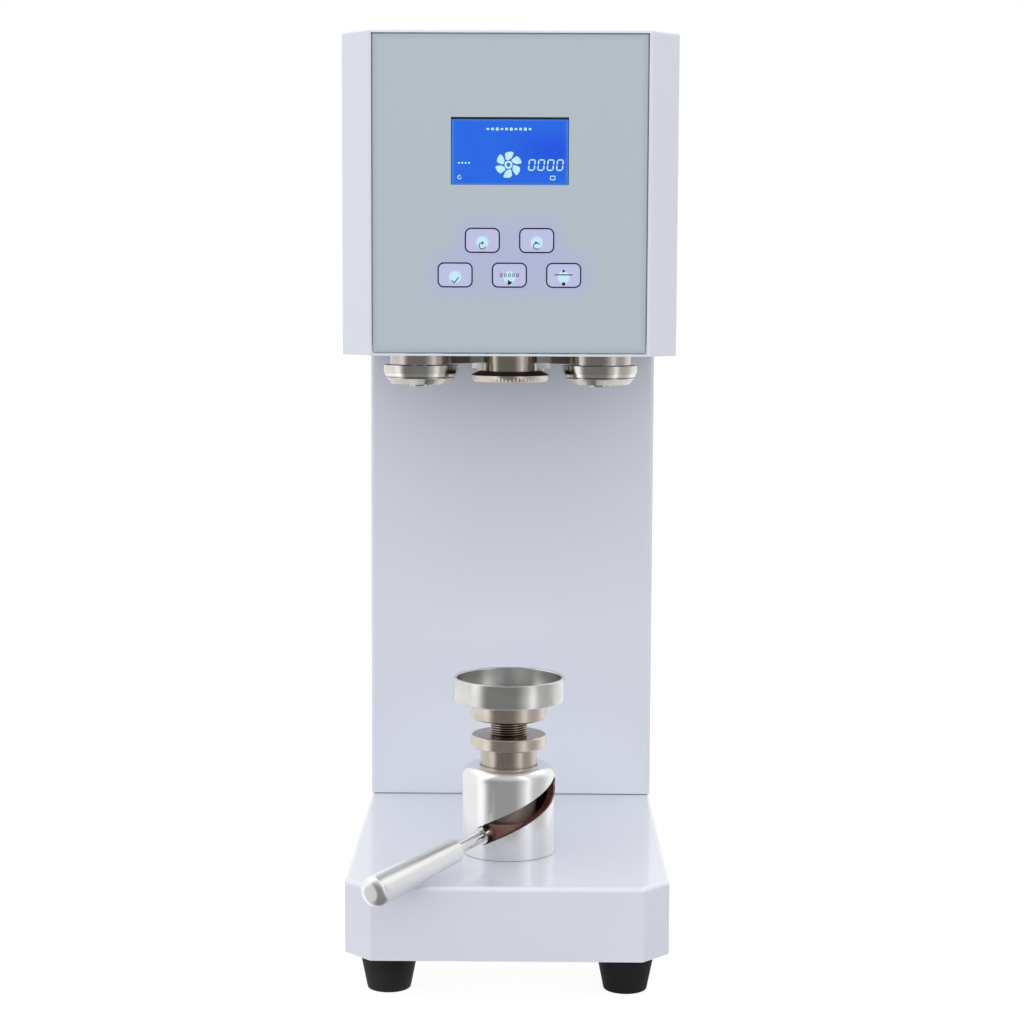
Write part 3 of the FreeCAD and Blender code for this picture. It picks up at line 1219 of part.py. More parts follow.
def make_lift_housing():
    top = BASE_TOP + " + lift_height"
    hole = "ram_radius + lift_hole_play"
    shell = turned("LiftShell", [
        ("lift_bore", BASE_TOP), ("lift_radius", BASE_TOP), ("lift_radius", top), (hole, top),
        (hole, top + " - lift_roof"), ("lift_bore", top + " - lift_roof")])
    dressed(shell, "Fillet", "lift_edge", rim("lift_radius", top))
    dressed(shell, "Chamfer", "lift_hole_edge", rim(hole, top))
    slot = doc.addObject("Part::Feature", "LeverSlot")
    slot.Shape = slot_tool()
    # The lever points straight ahead at -90 degrees, and rests to the left of that.
    slot.Placement = Placement(Vector(0, 0, number(SLOT_REST)),
                               Rotation(Vector(0, 0, 1), -90 - number("lever_rest")))
    holes = lift_screw_rods("LiftHole", BASE_TOP, "lift_screw_grip + end_play",
                            "lift_screw_radius + press_play")
    keep("lift_housing", less("LiftHousing", shell, [slot] + holes))
    screws = []
    reach = "lift_screw_circle / sqrt(2)"
    for n, (x, y) in enumerate([(a, b) for a in (LEFT, RIGHT) for b in (LEFT, RIGHT)]):
        low = DECK_LOW + " - small_head_height"
        tip = BASE_TOP + " + lift_screw_grip"
        screws.append(turned("LiftScrew%d" % n, [
            ("0", low), ("2 * lift_screw_radius", low), ("2 * lift_screw_radius", DECK_LOW),
            ("lift_screw_radius", DECK_LOW), ("lift_screw_radius", tip), ("0", tip)],
            "%s * %s" % (x, reach), "%s * %s" % (y, reach)))
    keep("lift_housing_screws", group("LiftHousingScrews", screws))


def make_deck():
    side = "2 * deck_half"
    blank = block("DeckBlank", "-deck_half", "-deck_half", FLOOR_TOP, side, side,
                  "%s - %s" % (DECK_TOP, FLOOR_TOP))
    under = block("DeckUnder", "deck_wall - deck_half", "-2 * deck_half", FLOOR_TOP,
                  side + " - 2 * deck_wall", "4 * deck_half", "%s - %s" % (DECK_LOW, FLOOR_TOP))
    bore = rod("DeckBore", "0", "0", FLOOR_TOP, "guide_radius + run_play", "base_height")
    holes = lift_screw_rods("DeckHole", FLOOR_TOP, "base_height",
                            "lift_screw_radius + hole_play")
    keep("lift_deck", less("LiftDeck", blank, [under, bore] + holes))
    keep("guide_key", block("GuideKey", "run_play - keyway_half",
                            "guide_radius - keyway_depth + end_play", DECK_LOW + " - key_height",
                            "2 * keyway_half - 2 * run_play", "key_length", "key_height"))


def make_ram():
    low = FLOOR_TOP + " + ram_low"
    thread = "thread_radius + thread_play"
    floor = BASE_TOP + " + ram_bore_floor"
    groove = "guide_radius - clip_depth"
    clip_low = CLIP_TOP + " - clip_height - end_play"
    ram = turned("RamTurned", [
        ("0", low), ("guide_radius", low), ("guide_radius", clip_low), (groove, clip_low),
        (groove, CLIP_TOP), ("guide_radius", CLIP_TOP), ("guide_radius", SHOULDER),
        ("ram_radius", SHOULDER), ("ram_radius", RAM_TOP), (thread, RAM_TOP), (thread, floor),
        ("0", floor)])
    dressed(ram, "Chamfer", "ram_edge", rim("ram_radius", RAM_TOP))
    keyway = block("Keyway", "-keyway_half", "guide_radius - keyway_depth", low + " - sheet",
                   "2 * keyway_half", "2 * keyway_depth",
                   "%s + end_play - (%s) + sheet" % (DECK_LOW, low))
    keep("ram", less("Ram", ram, [keyway]))
    ring = turned("ClipTurned", [
        (groove + " + press_play", clip_low + " + end_play / 2"),
        ("clip_radius", clip_low + " + end_play / 2"),
        ("clip_radius", CLIP_TOP + " - end_play / 2"),
        (groove + " + press_play", CLIP_TOP + " - end_play / 2")])
    opening = block("ClipOpening", "0", "-clip_gap_half", BASE_TOP, "2 * clip_radius",
                    "2 * clip_gap_half", "lift_height")
    keep("sleeve_retainer", less("SleeveRetainer", ring, [opening]))
    nut = turned("LockNut", [
        (thread, RAM_TOP), ("nut_radius", RAM_TOP), ("nut_radius", NUT_TOP), (thread, NUT_TOP)])
    dressed(nut, "Chamfer", "nut_edge",
            lambda edge: rim("nut_radius", RAM_TOP)(edge) or rim("nut_radius", NUT_TOP)(edge))
    keep("lock_nut", nut)


def lever_placement():
    """The lever's own axis, from the can axis outwards through the slot at rest."""
    rest = math.radians(number("lever_rest"))
    droop = math.radians(number("lever_tilt"))
    outward = Vector(-math.sin(rest) * math.cos(droop), -math.cos(rest) * math.cos(droop),
                     -math.sin(droop))
    start = Vector(0, 0, number(SLOT_REST) + number("lift_radius") * math.sin(droop))
    return Placement(start, Rotation(Vector(0, 0, 1), outward))


def make_lever():
    along = lever_placement()
    bore = "guide_radius + run_play"
    outside = "lift_bore - sleeve_play"
    top = BASE_TOP + " + sleeve_top"
    ring = turned("SleeveTurned", [
        (bore, SLEEVE_LOW), (outside, SLEEVE_LOW), (outside, top), (bore, top)])
    hole = doc.addObject("Part::Cylinder", "SleeveHole")
    bind(hole, Radius="rod_radius + press_play", Height="lift_radius")
    hole.Placement = along
    keep("lever_sleeve", less("LeverSleeve", ring, [hole]))
    tip = "grip_start + rod_grip"
    pieces = {
        "lever_rod": turned("LeverRod", [
            ("0", "rod_start"), ("rod_radius", "rod_start"), ("rod_radius", "collar_start"),
            ("collar_radius", "collar_start"), ("collar_radius", "collar_end"),
            ("rod_radius", "collar_end"), ("rod_radius", tip), ("0", tip)]),
        "lever_grip": turned("LeverGrip", [
            ("rod_radius + press_play", "grip_start"), ("grip_inner_radius", "grip_start"),
            ("grip_outer_radius", "grip_start + grip_length"), ("0", "grip_start + grip_length"),
            ("0", tip + " + end_play"), ("rod_radius + press_play", tip + " + end_play")]),
    }
    grip = pieces["lever_grip"]
    dressed(grip, "Fillet", "grip_edge", rim("grip_outer_radius", "grip_start + grip_length"))
    for label, body in pieces.items():
        keep(label, put(body, along))


def make_seat():
    low = BASE_TOP + " + ram_bore_floor + screw_end"
    pocket = FLANGE_TOP + " - pocket_depth"
    screw = turned("AdjustScrew", [
        ("0", low), ("thread_radius", low), ("thread_radius", FLANGE_LOW),
        ("flange_radius", FLANGE_LOW), ("flange_radius", FLANGE_TOP),
        ("pocket_radius", FLANGE_TOP), ("pocket_radius", pocket), ("0", pocket)])
    dressed(screw, "Chamfer", "nut_edge",
            lambda edge: rim("flange_radius", FLANGE_LOW)(edge)
            or rim("flange_radius", FLANGE_TOP)(edge))
    keep("adjust_screw", screw)
    inner = "spigot_radius + run_play"
    outer = "pocket_radius - run_play"
    race_low = pocket + " + end_play"
    keep("seat_bearing", turned("SeatBearing", [
        (inner, race_low), (outer, race_low), (outer, FLANGE_TOP), (inner, FLANGE_TOP)]))
    top = SEAT_LOW + " + seat_height"
    floor = SEAT_LOW + " + seat_floor"
    foot = pocket + " + 2 * end_play"
    seat = turned("CanSeat", [
        ("0", foot), ("spigot_radius", foot), ("spigot_radius", SEAT_LOW),
        ("seat_radius", SEAT_LOW), ("seat_radius", top), ("seat_recess_radius", top),
        ("seat_recess_radius", floor), ("0", floor)])
    dressed(seat, "Fillet", "seat_edge",
            lambda edge: rim("seat_radius", SEAT_LOW)(edge) or rim("seat_radius", top)(edge)
            or rim("seat_recess_radius", top)(edge))
    keep("can_seat", seat)


make_base()
make_feet()
make_column()
make_rear_panel()
make_inlet()
make_switch()
make_supply()
make_head()
make_cover_screws()
make_panel()
make_spindle()
make_drive()
make_pivots()
for arm_name, arm_side in SIDES:
    make_arm(arm_name, arm_side)
    make_roller(arm_name, arm_side)
    make_cam(arm_name, arm_side)
    make_follower(arm_name, arm_side)
make_deck()
make_lift_housing()
make_ram()
make_lever()
make_seat()
doc.recompute()

# ---------------------------------------------------------------------------------------
# Checks, then one STEP file for each sub-part
# ---------------------------------------------------------------------------------------
for item in doc.Objects:
    if "Invalid" in item.State or "Error" in item.State:
        raise RuntimeError("%s failed: %s" % (item.Name, item.State))
for label, item in PIECES:
    if item.Shape.isNull() or not item.Shape.isValid() or not item.Shape.Solids:
        raise RuntimeError("%s has no valid solid" % label)

os.makedirs("parts", exist_ok=True)
for label, item in PIECES:
    item.Shape.exportStep("parts/%s.step" % label)
    box = item.Shape.BoundBox
    print("%-22s %d solid(s) %8.0f mm3  x %.1f..%.1f  y %.1f..%.1f  z %.1f..%.1f" % (
        label, len(item.Shape.Solids), item.Shape.Volume, box.XMin, box.XMax, box.YMin,
        box.YMax, box.ZMin, box.ZMax))
print(len(PIECES), "sub-parts")
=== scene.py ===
# %% [markdown]
# # Dressing a bench-top can seamer
# A can seamer closes a lid on a drink can. The can stands on a seat, a lever lifts it to a
# driven chuck, and two rollers swing in from the sides to fold the lid's rim over.
# The solid model gives every piece its size and place, in metres, with the point under the
# chuck on the table as origin. Here the pieces get their finishes. Those that need finer
# shapes than the solids have, such as the screw thread or the marks on the keys, are made new.

import math

import bpy
from mathutils import Matrix, Vector


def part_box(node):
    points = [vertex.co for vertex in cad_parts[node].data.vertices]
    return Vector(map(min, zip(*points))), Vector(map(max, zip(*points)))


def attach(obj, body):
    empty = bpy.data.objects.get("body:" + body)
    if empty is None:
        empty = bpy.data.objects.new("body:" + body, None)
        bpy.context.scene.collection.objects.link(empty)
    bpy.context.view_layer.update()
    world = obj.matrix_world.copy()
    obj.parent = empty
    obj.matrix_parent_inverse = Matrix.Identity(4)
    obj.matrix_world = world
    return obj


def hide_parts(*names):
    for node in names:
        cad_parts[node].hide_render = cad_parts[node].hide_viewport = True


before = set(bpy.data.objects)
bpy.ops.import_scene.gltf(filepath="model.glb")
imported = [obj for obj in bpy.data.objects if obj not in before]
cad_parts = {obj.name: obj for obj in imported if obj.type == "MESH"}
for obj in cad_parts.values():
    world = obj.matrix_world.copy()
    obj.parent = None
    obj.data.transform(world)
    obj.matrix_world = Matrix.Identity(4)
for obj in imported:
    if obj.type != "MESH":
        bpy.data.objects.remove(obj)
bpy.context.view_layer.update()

# %% [markdown]
# ## The camera
# The machine is seen from straight ahead, at the height of its head's lower edge and from
# about one and a half metres, so its sides hardly show and its upright lines stay upright.
# A long lens at that distance gives the same shallow perspective.

# %% Place the camera
MM = 0.001
EYE = Vector((12.64, -1393.39, 439.78)) * MM
PITCH, YAW, ROLL = math.radians(5.941), math.radians(0.461), math.radians(0.249)
SENSOR, FOCAL, FAR = 36.0, 77.29, 50.0

lens = bpy.data.cameras.new("front_camera")
lens.sensor_width, lens.lens, lens.clip_end = SENSOR, FOCAL, FAR
camera = bpy.data.objects.new("front_camera", lens)
bpy.context.scene.collection.objects.link(camera)
turn = (Matrix.Rotation(YAW, 4, "Z") @ Matrix.Rotation(math.pi / 2 - PITCH, 4, "X")
        @ Matrix.Rotation(ROLL, 4, "Z"))
camera.matrix_world = Matrix.Translation(EYE) @ turn
bpy.context.scene.camera = camera
bpy.context.scene.view_settings.view_transform = "Standard"
print("camera at", [round(v, 3) for v in camera.matrix_world.translation])

# %% [markdown]
# ## Shader arithmetic in Python
# A finish is a small network of nodes. Written node by node it is long and hard to read, so
# one class wraps an output and lets Python's own operators add the Math nodes. Any other
# node comes from its one method, which sets the node's settings before its inputs.

# %% The class for shader arithmetic
class Wire:
    """One output of a shader node."""

    def __init__(self, tree, socket):
        self.tree = tree
        self.socket = socket

    def node(self, kind, settings=None, inputs=None, out=0):
        """Add any node, with its settings first and then the values or wires of its inputs."""
        made = self.tree.nodes.new("ShaderNode" + kind)
        for name, value in (settings or {}).items():
            if name == "stops":
                stops = made.color_ramp.elements
                stops[0].position, stops[0].color = value[0]
                stops[1].position, stops[1].color = value[-1]
                for position, colour in value[1:-1]:
                    stops.new(position).color = colour
            else:
                setattr(made, name, value)
        for name, value in (inputs or {}).items():
            if isinstance(value, Wire):
                self.tree.links.new(value.socket, made.inputs[name])
            else:
                made.inputs[name].default_value = value
        return Wire(self.tree, made.outputs[out])

    def maths(self, operation, first, second):
        return self.node("Math", {"operation": operation}, {0: first, 1: second})

    def __add__(self, other):
        return self.maths("ADD", self, other)

    def __radd__(self, other):
        return self.maths("ADD", other, self)

    def __sub__(self, other):
        return self.maths("SUBTRACT", self, other)

    def __rsub__(self, other):
        return self.maths("SUBTRACT", other, self)

    def __mul__(self, other):
        return self.maths("MULTIPLY", self, other)

    def __rmul__(self, other):
        return self.maths("MULTIPLY", other, self)

    def __truediv__(self, other):
        return self.maths("DIVIDE", self, other)

    def __pow__(self, other):
        return self.maths("POWER", self, other)

    def __abs__(self):
        return self.maths("ABSOLUTE", self, 0.0)

    def fraction(self):
        return self.maths("FRACT", self, 0.0)

    def larger(self, other):
        return self.maths("MAXIMUM", self, other)

    def smaller(self, other):
        return self.maths("MINIMUM", self, other)

    def ramp(self, low, high):
        """0 below low and 1 above high, with a soft step between; low may be the larger."""
        return self.node("MapRange", {"interpolation_type": "SMOOTHSTEP"},
                         {"Value": self, "From Min": low, "From Max": high})


print("shader arithmetic ready")

# %% [markdown]
# ## Starting a finish
# Every finish here is one Principled shader. What is the same all over the surface is set on
# the shader's own sockets. What changes over it, such as colour, roughness and small bumps,
# is worked out from the piece's own coordinates, so that it stays put when the piece moves.

# %% Helpers for finishes
def start_finish(name, **constants):
    """A material with its Principled shader set up; gives the material, shader and place."""
    material = bpy.data.materials.new(name)
    material.use_nodes = True
    tree = material.node_tree
    shader = tree.nodes["Principled BSDF"]
    for key, value in constants.items():
        shader.inputs[key.replace("_", " ")].default_value = value
    place = Wire(tree, tree.nodes.new("ShaderNodeTexCoord").outputs["Object"])
    return material, shader, place


def feed(shader, **wires):
    """Join wires to the shader's sockets."""
    for key, wire in wires.items():
        wire.tree.links.new(wire.socket, shader.inputs[key.replace("_", " ")])


def noise(place, scale, detail=2.0, stretch=(1.0, 1.0, 1.0)):
    """Cloudy values around a half; scale is in cells for each metre."""
    spread = place.node("Mapping", None, {"Vector": place, "Scale": stretch})
    return place.node("TexNoise", None, {"Vector": spread, "Scale": scale, "Detail": detail})


def parts_of(place):
    """The three coordinates of a place, in metres."""
    return [place.node("SeparateXYZ", None, {0: place}, out=axis) for axis in range(3)]


def bumps(height, distance, strength=1.0):
    """A bumped normal; distance is the real depth in metres."""
    return height.node("Bump", None, {"Height": height, "Distance": distance,
                                      "Strength": strength})


def blend_colours(share, first, second):
    """From the first colour at 0 to the second at 1."""
    return share.node("Mix", {"data_type": "RGBA"}, {0: share, 6: first, 7: second}, out=2)


def grey(level, tint=(1.0, 1.0, 1.0)):
    """A colour of one level with a slight tint."""
    return tuple(level * part for part in tint) + (1.0,)


print("helpers ready")

# %% [markdown]
# ## White enamel
# The covers are sheet metal with a baked powder coat, a cool white with a soft gloss. Powder
# flows out before it sets, which leaves a very shallow orange peel of millimetre size under
# a glossy skin. A coat layer gives the skin, and two sizes of noise bend its reflections.

# %% White enamel
def white_enamel():
    """Cool white powder coat with a clear gloss and a shallow orange peel."""
    material, shader, place = start_finish("white_enamel", Coat_Weight=1.0, Coat_Roughness=0.05,
                                           Coat_IOR=1.5)
    cloud = noise(place, 9.0)
    feed(shader, Base_Color=blend_colours(cloud, (0.765, 0.792, 0.885, 1),
                                          (0.795, 0.822, 0.910, 1)),
         Roughness=0.36 + cloud * 0.1,
         Normal=bumps(noise(place, 620.0, 1.0) + noise(place, 45.0, 0.0) * 3.0, 0.000006))
    return material


enamel = white_enamel()
print(enamel.name)

# %% [markdown]
# ## Turned metal
# Spindles, rollers, nuts and rings come off a lathe. The tool leaves fine rings around the
# axis of each piece, so the noise is read at the radius and the height instead of at x, y
# and z: it can't change round the piece, and shows as rings. One function makes all of
# them, for any upright axis, colour and fineness. Painted shade, a dark brown, lies where a
# second
# function of radius and height says: in the thread, on the lock nut's upper face and in and round
# the rollers' grooves.

# %% Turned metals
def turned_metal(name, colour, rough, axis=(0.0, 0.0), painted_shade=None):
    """Metal turned round an upright axis; painted_shade gives the share of painted shade from
    radius and height.
    """
    material, shader, place = start_finish(name, Metallic=1.0)
    x, y, z = parts_of(place)
    across = x - axis[0]
    along = y - axis[1]
    radius = (across * across + along * along) ** 0.5
    lathe = place.node("CombineXYZ", None, {0: radius, 2: z})
    marks = noise(lathe, 1500.0, 3.0)
    cloud = noise(place, 60.0, 3.0)
    dull = tuple(part * 0.82 for part in colour[:3]) + (1.0,)
    skin = blend_colours(cloud.ramp(0.35, 0.75), colour, dull)
    if painted_shade:
        # Painted shade: the dark brown below darkens the metal in grooves and on faces where
        # shade falls.
        skin = blend_colours(painted_shade(radius, z), skin, (0.085, 0.062, 0.048, 1))
    feed(shader, Base_Color=skin,
         Roughness=rough + (marks - 0.5) * 0.16 + (cloud - 0.5) * 0.1,
         Normal=bumps(marks, 0.000004))
    return material


THREAD_RADIUS = 12.0
THREAD_DEPTH = 0.92
ROLLER_X = 56.5 * MM
ROLLER_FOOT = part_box("first_roller")[0].z
NUT_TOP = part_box("lock_nut")[1].z
NICKEL = (0.70, 0.63, 0.545, 1)
BRIGHT = (0.90, 0.88, 0.82, 1)


def thread_painted_shade(radius, z):
    """Painted shade between the ridges of the thread."""
    ridge = (THREAD_RADIUS - 0.1) * MM
    return radius.ramp(ridge, ridge - 0.6 * MM) * radius.ramp(9 * MM, 11 * MM)


def nut_top_painted_shade(radius, z):
    """Painted shade on the nut's upper face, a painted dark reflection."""
    return z.ramp(NUT_TOP - 0.15 * MM, NUT_TOP - 0.05 * MM) * 0.6


def roller_painted_shade(radius, z):
    """Painted shade in the seaming groove, a little on the flange above and the bevel below the
    ring.
    """
    groove = radius.ramp(21.8 * MM, 21.2 * MM) * radius.ramp(20.0 * MM, 20.3 * MM)
    bevel = z.ramp(ROLLER_FOOT + 3.7 * MM, ROLLER_FOOT + 3.6 * MM)
    flange = z.ramp(ROLLER_FOOT + 6.8 * MM, ROLLER_FOOT + 6.9 * MM)
    return groove * (1 - bevel) * 0.6 + bevel * 0.36 + flange * 0.2


screw_nickel = turned_metal("screw_nickel", NICKEL, 0.24, painted_shade=thread_painted_shade)
nut_nickel = turned_metal("nut_nickel", NICKEL, 0.24, painted_shade=nut_top_painted_shade)
roller_steel = {side: turned_metal(name + "_roller_steel", BRIGHT, 0.13, (side * ROLLER_X, 0.0),
                                   roller_painted_shade)
                for name, side in (("first", -1), ("second", 1))}
spindle_steel = turned_metal("spindle_steel", (0.54, 0.485, 0.42, 1), 0.2)
cup_aluminium = turned_metal("cup_aluminium", (0.75, 0.745, 0.73, 1), 0.22)
plain_steel = turned_metal("plain_steel", (0.5, 0.5, 0.5, 1), 0.33)
ground_steel = turned_metal("ground_steel", (0.68, 0.68, 0.69, 1), 0.15)
print("turned metals ready")

# %% [markdown]
# ## Chuck: black cone over a polished rim
# The chuck's cone is black and only its rim, which runs in the lid, is polished. Both
# are one piece of steel, so one finish changes at the height where the cone starts.

# %% Chuck
def chuck_finish():
    """Black above the foot of the cone and polished below it."""
    material, shader, place = start_finish("chuck_steel")
    z = parts_of(place)[2]
    cone_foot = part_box("seaming_chuck")[1].z - 2.5 * MM
    black = z.ramp(cone_foot - 0.05 * MM, cone_foot + 0.05 * MM)
    wear = noise(place, 700.0)
    feed(shader, Base_Color=blend_colours(black, (0.66, 0.585, 0.525, 1), (0.02, 0.02, 0.022, 1)),
         Metallic=1 - black * 0.85,
         Roughness=0.14 + black * 0.25 + wear * 0.06, Normal=bumps(wear, 0.000004))
    return material


chuck_steel = chuck_finish()
print(chuck_steel.name)

# %% [markdown]
# ## Lift housing and grip: satin aluminium
# Both are turned from bar and tumbled, which leaves a bright satin. The wall of the slot and
# the bore behind it are never polished, and hold a film of dark red oil. The film is a mask
# on the radius: inside the outer skin the metal darkens and turns brown. The lever droops, so
# its rings are read along its own axis, from the middle of the housing to the grip's end.

# %% Satin aluminium
def housing_finish():
    """Satin outside, oily brown inside, with a painted contact shadow where it stands on the
    base.
    """
    material, shader, place = start_finish("housing_aluminium")
    x, y, z = parts_of(place)
    radius = (x * x + y * y) ** 0.5
    foot, top = (corner.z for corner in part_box("lift_housing"))
    roof = top - 9 * MM
    inner = radius.ramp(29.6 * MM, 28.8 * MM) * z.ramp(roof, roof - 2 * MM)
    marks = noise(place.node("CombineXYZ", None, {0: radius, 2: z}), 1300.0, 3.0)
    cloud = noise(place, 40.0)
    oily = blend_colours(noise(place, 120.0), (0.085, 0.02, 0.017, 1), (0.15, 0.062, 0.052, 1))
    # Painted shadow: the dark grey band along the foot is the contact shadow where the housing
    # stands on the base.
    skin = blend_colours(z.ramp(foot + 0.5 * MM, foot + 0.2 * MM), grey(0.86), grey(0.3))
    feed(shader, Base_Color=blend_colours(inner, skin, oily), Metallic=0.87 - inner * 0.5,
         Roughness=0.20 + (marks - 0.5) * 0.06 + (cloud - 0.5) * 0.05,
         Normal=bumps(marks, 0.0000012))
    return material


def lever_finish(name, level, rough):
    """A metal whose fine rings run round the drooping lever."""
    material, shader, place = start_finish(name, Metallic=1.0)
    low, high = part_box("lever_grip")
    start = Vector((0.0, 0.0, 0.5 * (low.z + high.z)))
    far = Vector((low.x, low.y, low.z))
    axis = (far - start).normalized()
    along = place.node("VectorMath", {"operation": "DOT_PRODUCT"}, {0: place, 1: axis}, out=1)
    marks = noise(place.node("CombineXYZ", None, {0: along}), 1200.0, 3.0)
    cloud = noise(place, 70.0)
    feed(shader, Base_Color=blend_colours(cloud, grey(level), grey(0.96 * level)),
         Roughness=rough + (marks - 0.5) * 0.08 + (cloud - 0.5) * 0.04,
         Normal=bumps(marks, 0.000003))
    return material


housing_aluminium = housing_finish()
grip_aluminium = lever_finish("grip_aluminium", 0.94, 0.34)
rod_chrome = lever_finish("rod_chrome", 0.80, 0.07)
print("satin aluminium ready")

# %% [markdown]
# ## Oiled sleeve and ram
# Through the slot one looks at the steel sleeve that carries the lever. It runs in red
# brown grease, thick in some places and wiped thin in others, over dark steel. Above the
# sleeve stands the ram: turned nickel outside the housing, darker than the nut's as painted
# shade, under a pale brown film inside, partly oil and partly painted sheen.

# %% Oiled sleeve and ram
def oiled_sleeve():
    """Red brown grease in clouds and smears."""
    material, shader, place = start_finish("oiled_sleeve", Coat_Roughness=0.12, Coat_Weight=0.6)
    film = noise(place, 55.0, 4.0).ramp(0.35, 0.7)
    smear = noise(place, 160.0, 3.0, (1.0, 1.0, 3.0))
    red = blend_colours(smear, (0.13, 0.026, 0.022, 1), (0.24, 0.10, 0.085, 1))
    feed(shader, Base_Color=blend_colours(film, red, (0.34, 0.25, 0.21, 1)),
         Metallic=0.15 + film * 0.35, Roughness=0.34 + smear * 0.2, Normal=bumps(smear, 0.00002))
    return material


def ram_with_painted_shade_and_sheen():
    """Turned nickel darkened as painted shade above; inside the housing a pale brown oil film,
    partly painted sheen.
    """
    material, shader, place = start_finish("ram_with_painted_shade_and_sheen")
    x, y, z = parts_of(place)
    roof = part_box("lift_housing")[1].z
    film = z.ramp(roof - 8 * MM, roof - 16 * MM)
    radius = (x * x + y * y) ** 0.5
    marks = noise(place.node("CombineXYZ", None, {0: radius, 2: z}), 1500.0, 3.0)
    smear = noise(place, 90.0, 3.0)
    # Painted sheen: the pale brown film is partly oil, made light to stand for its sheen. Painted
    # shade: the nickel below is a darker copy of the nut's nickel.
    oily = blend_colours(smear, (0.24, 0.175, 0.145, 1), (0.42, 0.35, 0.30, 1))
    feed(shader, Base_Color=blend_colours(film, (0.52, 0.47, 0.41, 1), oily),
         Metallic=1 - film * 0.6, Roughness=0.22 + (marks - 0.5) * 0.14 + film * 0.1,
         Normal=bumps(marks, 0.000004))
    return material


sleeve_oil, ram_painted_shade_nickel = oiled_sleeve(), ram_with_painted_shade_and_sheen()
print(sleeve_oil.name, ram_painted_shade_nickel.name)

# %% [markdown]
# ## Milled arms
# The arms that swing the rollers are milled from steel bar and left with a dull grey skin of
# shallow parallel passes, darkened further as painted shade. Round each roller the boss is
# turned bright, and the end at the pivot is pale. Two masks part them: the distance from the
# roller's axis, and that from the machine's middle plane.

# %% Milled arms
def arm_finish():
    """Dull milled skin, darkened as painted shade, turned bright round each roller's boss and
    pale at the pivot end.
    """
    material, shader, place = start_finish("arm_steel", Metallic=0.95)
    x, y, z = parts_of(place)
    passes = noise(place, 240.0, 2.0, (1.0, 6.0, 1.0))
    cloud = noise(place, 35.0, 3.0)
    # Painted shade: the dark grey of the milled skin is partly shade painted on the arms.
    milled_and_painted_shade = blend_colours(cloud, (0.24, 0.225, 0.21, 1), (0.42, 0.41, 0.40, 1))
    pivot = abs(x).ramp(27 * MM, 25 * MM)
    milled_and_painted_shade = blend_colours(pivot, milled_and_painted_shade, grey(0.92))
    off = abs(x) - ROLLER_X
    reach = (off * off + y * y) ** 0.5
    rings = noise(place.node("CombineXYZ", None, {0: reach, 2: z}), 1500.0, 3.0)
    boss = reach.ramp(20.5 * MM, 20.0 * MM)
    feed(shader, Base_Color=blend_colours(boss, milled_and_painted_shade, (0.60, 0.55, 0.52, 1)),
         Roughness=0.34 + passes * 0.16 + pivot * 0.2 - boss * 0.26 + rings * 0.08,
         Normal=bumps(passes * (1 - boss) + rings * boss * 0.4, 0.00001))
    return material


arm_steel = arm_finish()
print(arm_steel.name)

# %% [markdown]
# ## Zinc plate
# The plates and frames inside are zinc plated, and one sees them from below. Zinc sets in
# crystals, each a little lighter or darker than the next, which the cells of a Voronoi
# texture give.

# %% Zinc plate
def zinc_finish():
    """Bright zinc plate with its faint crystals."""
    material, shader, place = start_finish("zinc_plate", Metallic=0.95)
    crystals = place.node("TexVoronoi", None, {"Vector": place, "Scale": 140.0}, out=1)
    shade = crystals.node("RGBToBW", None, {0: crystals})
    feed(shader, Base_Color=blend_colours(shade, (0.50, 0.53, 0.56, 1), (0.66, 0.67, 0.68, 1)),
         Roughness=0.34 + shade * 0.16, Normal=bumps(noise(place, 400.0), 0.00001))
    return material


zinc_plate = zinc_finish()
print(zinc_plate.name)

# %% [markdown]
# ## Dark and plain finishes
# Rubber, moulded plastic, blackened screws, motor enamel and satin cases have no pattern that
# one would notice, but none is a flat colour: each has a grain of its own size. One function
# makes them from two close colours, a roughness and the size and depth of the grain.

# %% Grained finishes
def grained(name, light, dark, rough, grain, depth, metallic=0.0, coat=0.0, gloss=0.5):
    """Two close colours in clouds under a fine grain; grain is in cells for each metre."""
    material, shader, place = start_finish(name, Metallic=metallic, Coat_Weight=coat,
                                           Specular_IOR_Level=gloss)
    fine = noise(place, grain, 2.0)
    cloud = noise(place, grain / 12.0, 2.0)
    feed(shader, Base_Color=blend_colours(cloud, dark, light),
         Roughness=rough + (fine - 0.5) * 0.2, Normal=bumps(fine, depth))
    return material


foot_rubber = grained("foot_rubber", grey(0.020), grey(0.013), 0.62, 1500.0, 0.00002,
                      gloss=0.2)
black_plastic = grained("black_plastic", grey(0.022), grey(0.014), 0.42, 1800.0, 0.00001)
black_screws = grained("black_screws", grey(0.055), grey(0.03), 0.38, 1400.0, 0.00001, 0.8)
motor_enamel = grained("motor_enamel", grey(0.030), grey(0.018), 0.35, 900.0, 0.00001, coat=0.3)
silver_case = grained("silver_case", grey(0.62), grey(0.52), 0.38, 1100.0, 0.00001, 1.0)
print("grained finishes ready")

# %% [markdown]
# ## Circuit boards
# The boards are inside the head. They are green lacquer over copper tracks, with solder dots
# on a grid of 5.08 mm, twice the usual pitch of parts. The dots are where both coordinates
# are near the middle of a grid cell, and a brick pattern stands for the tracks.

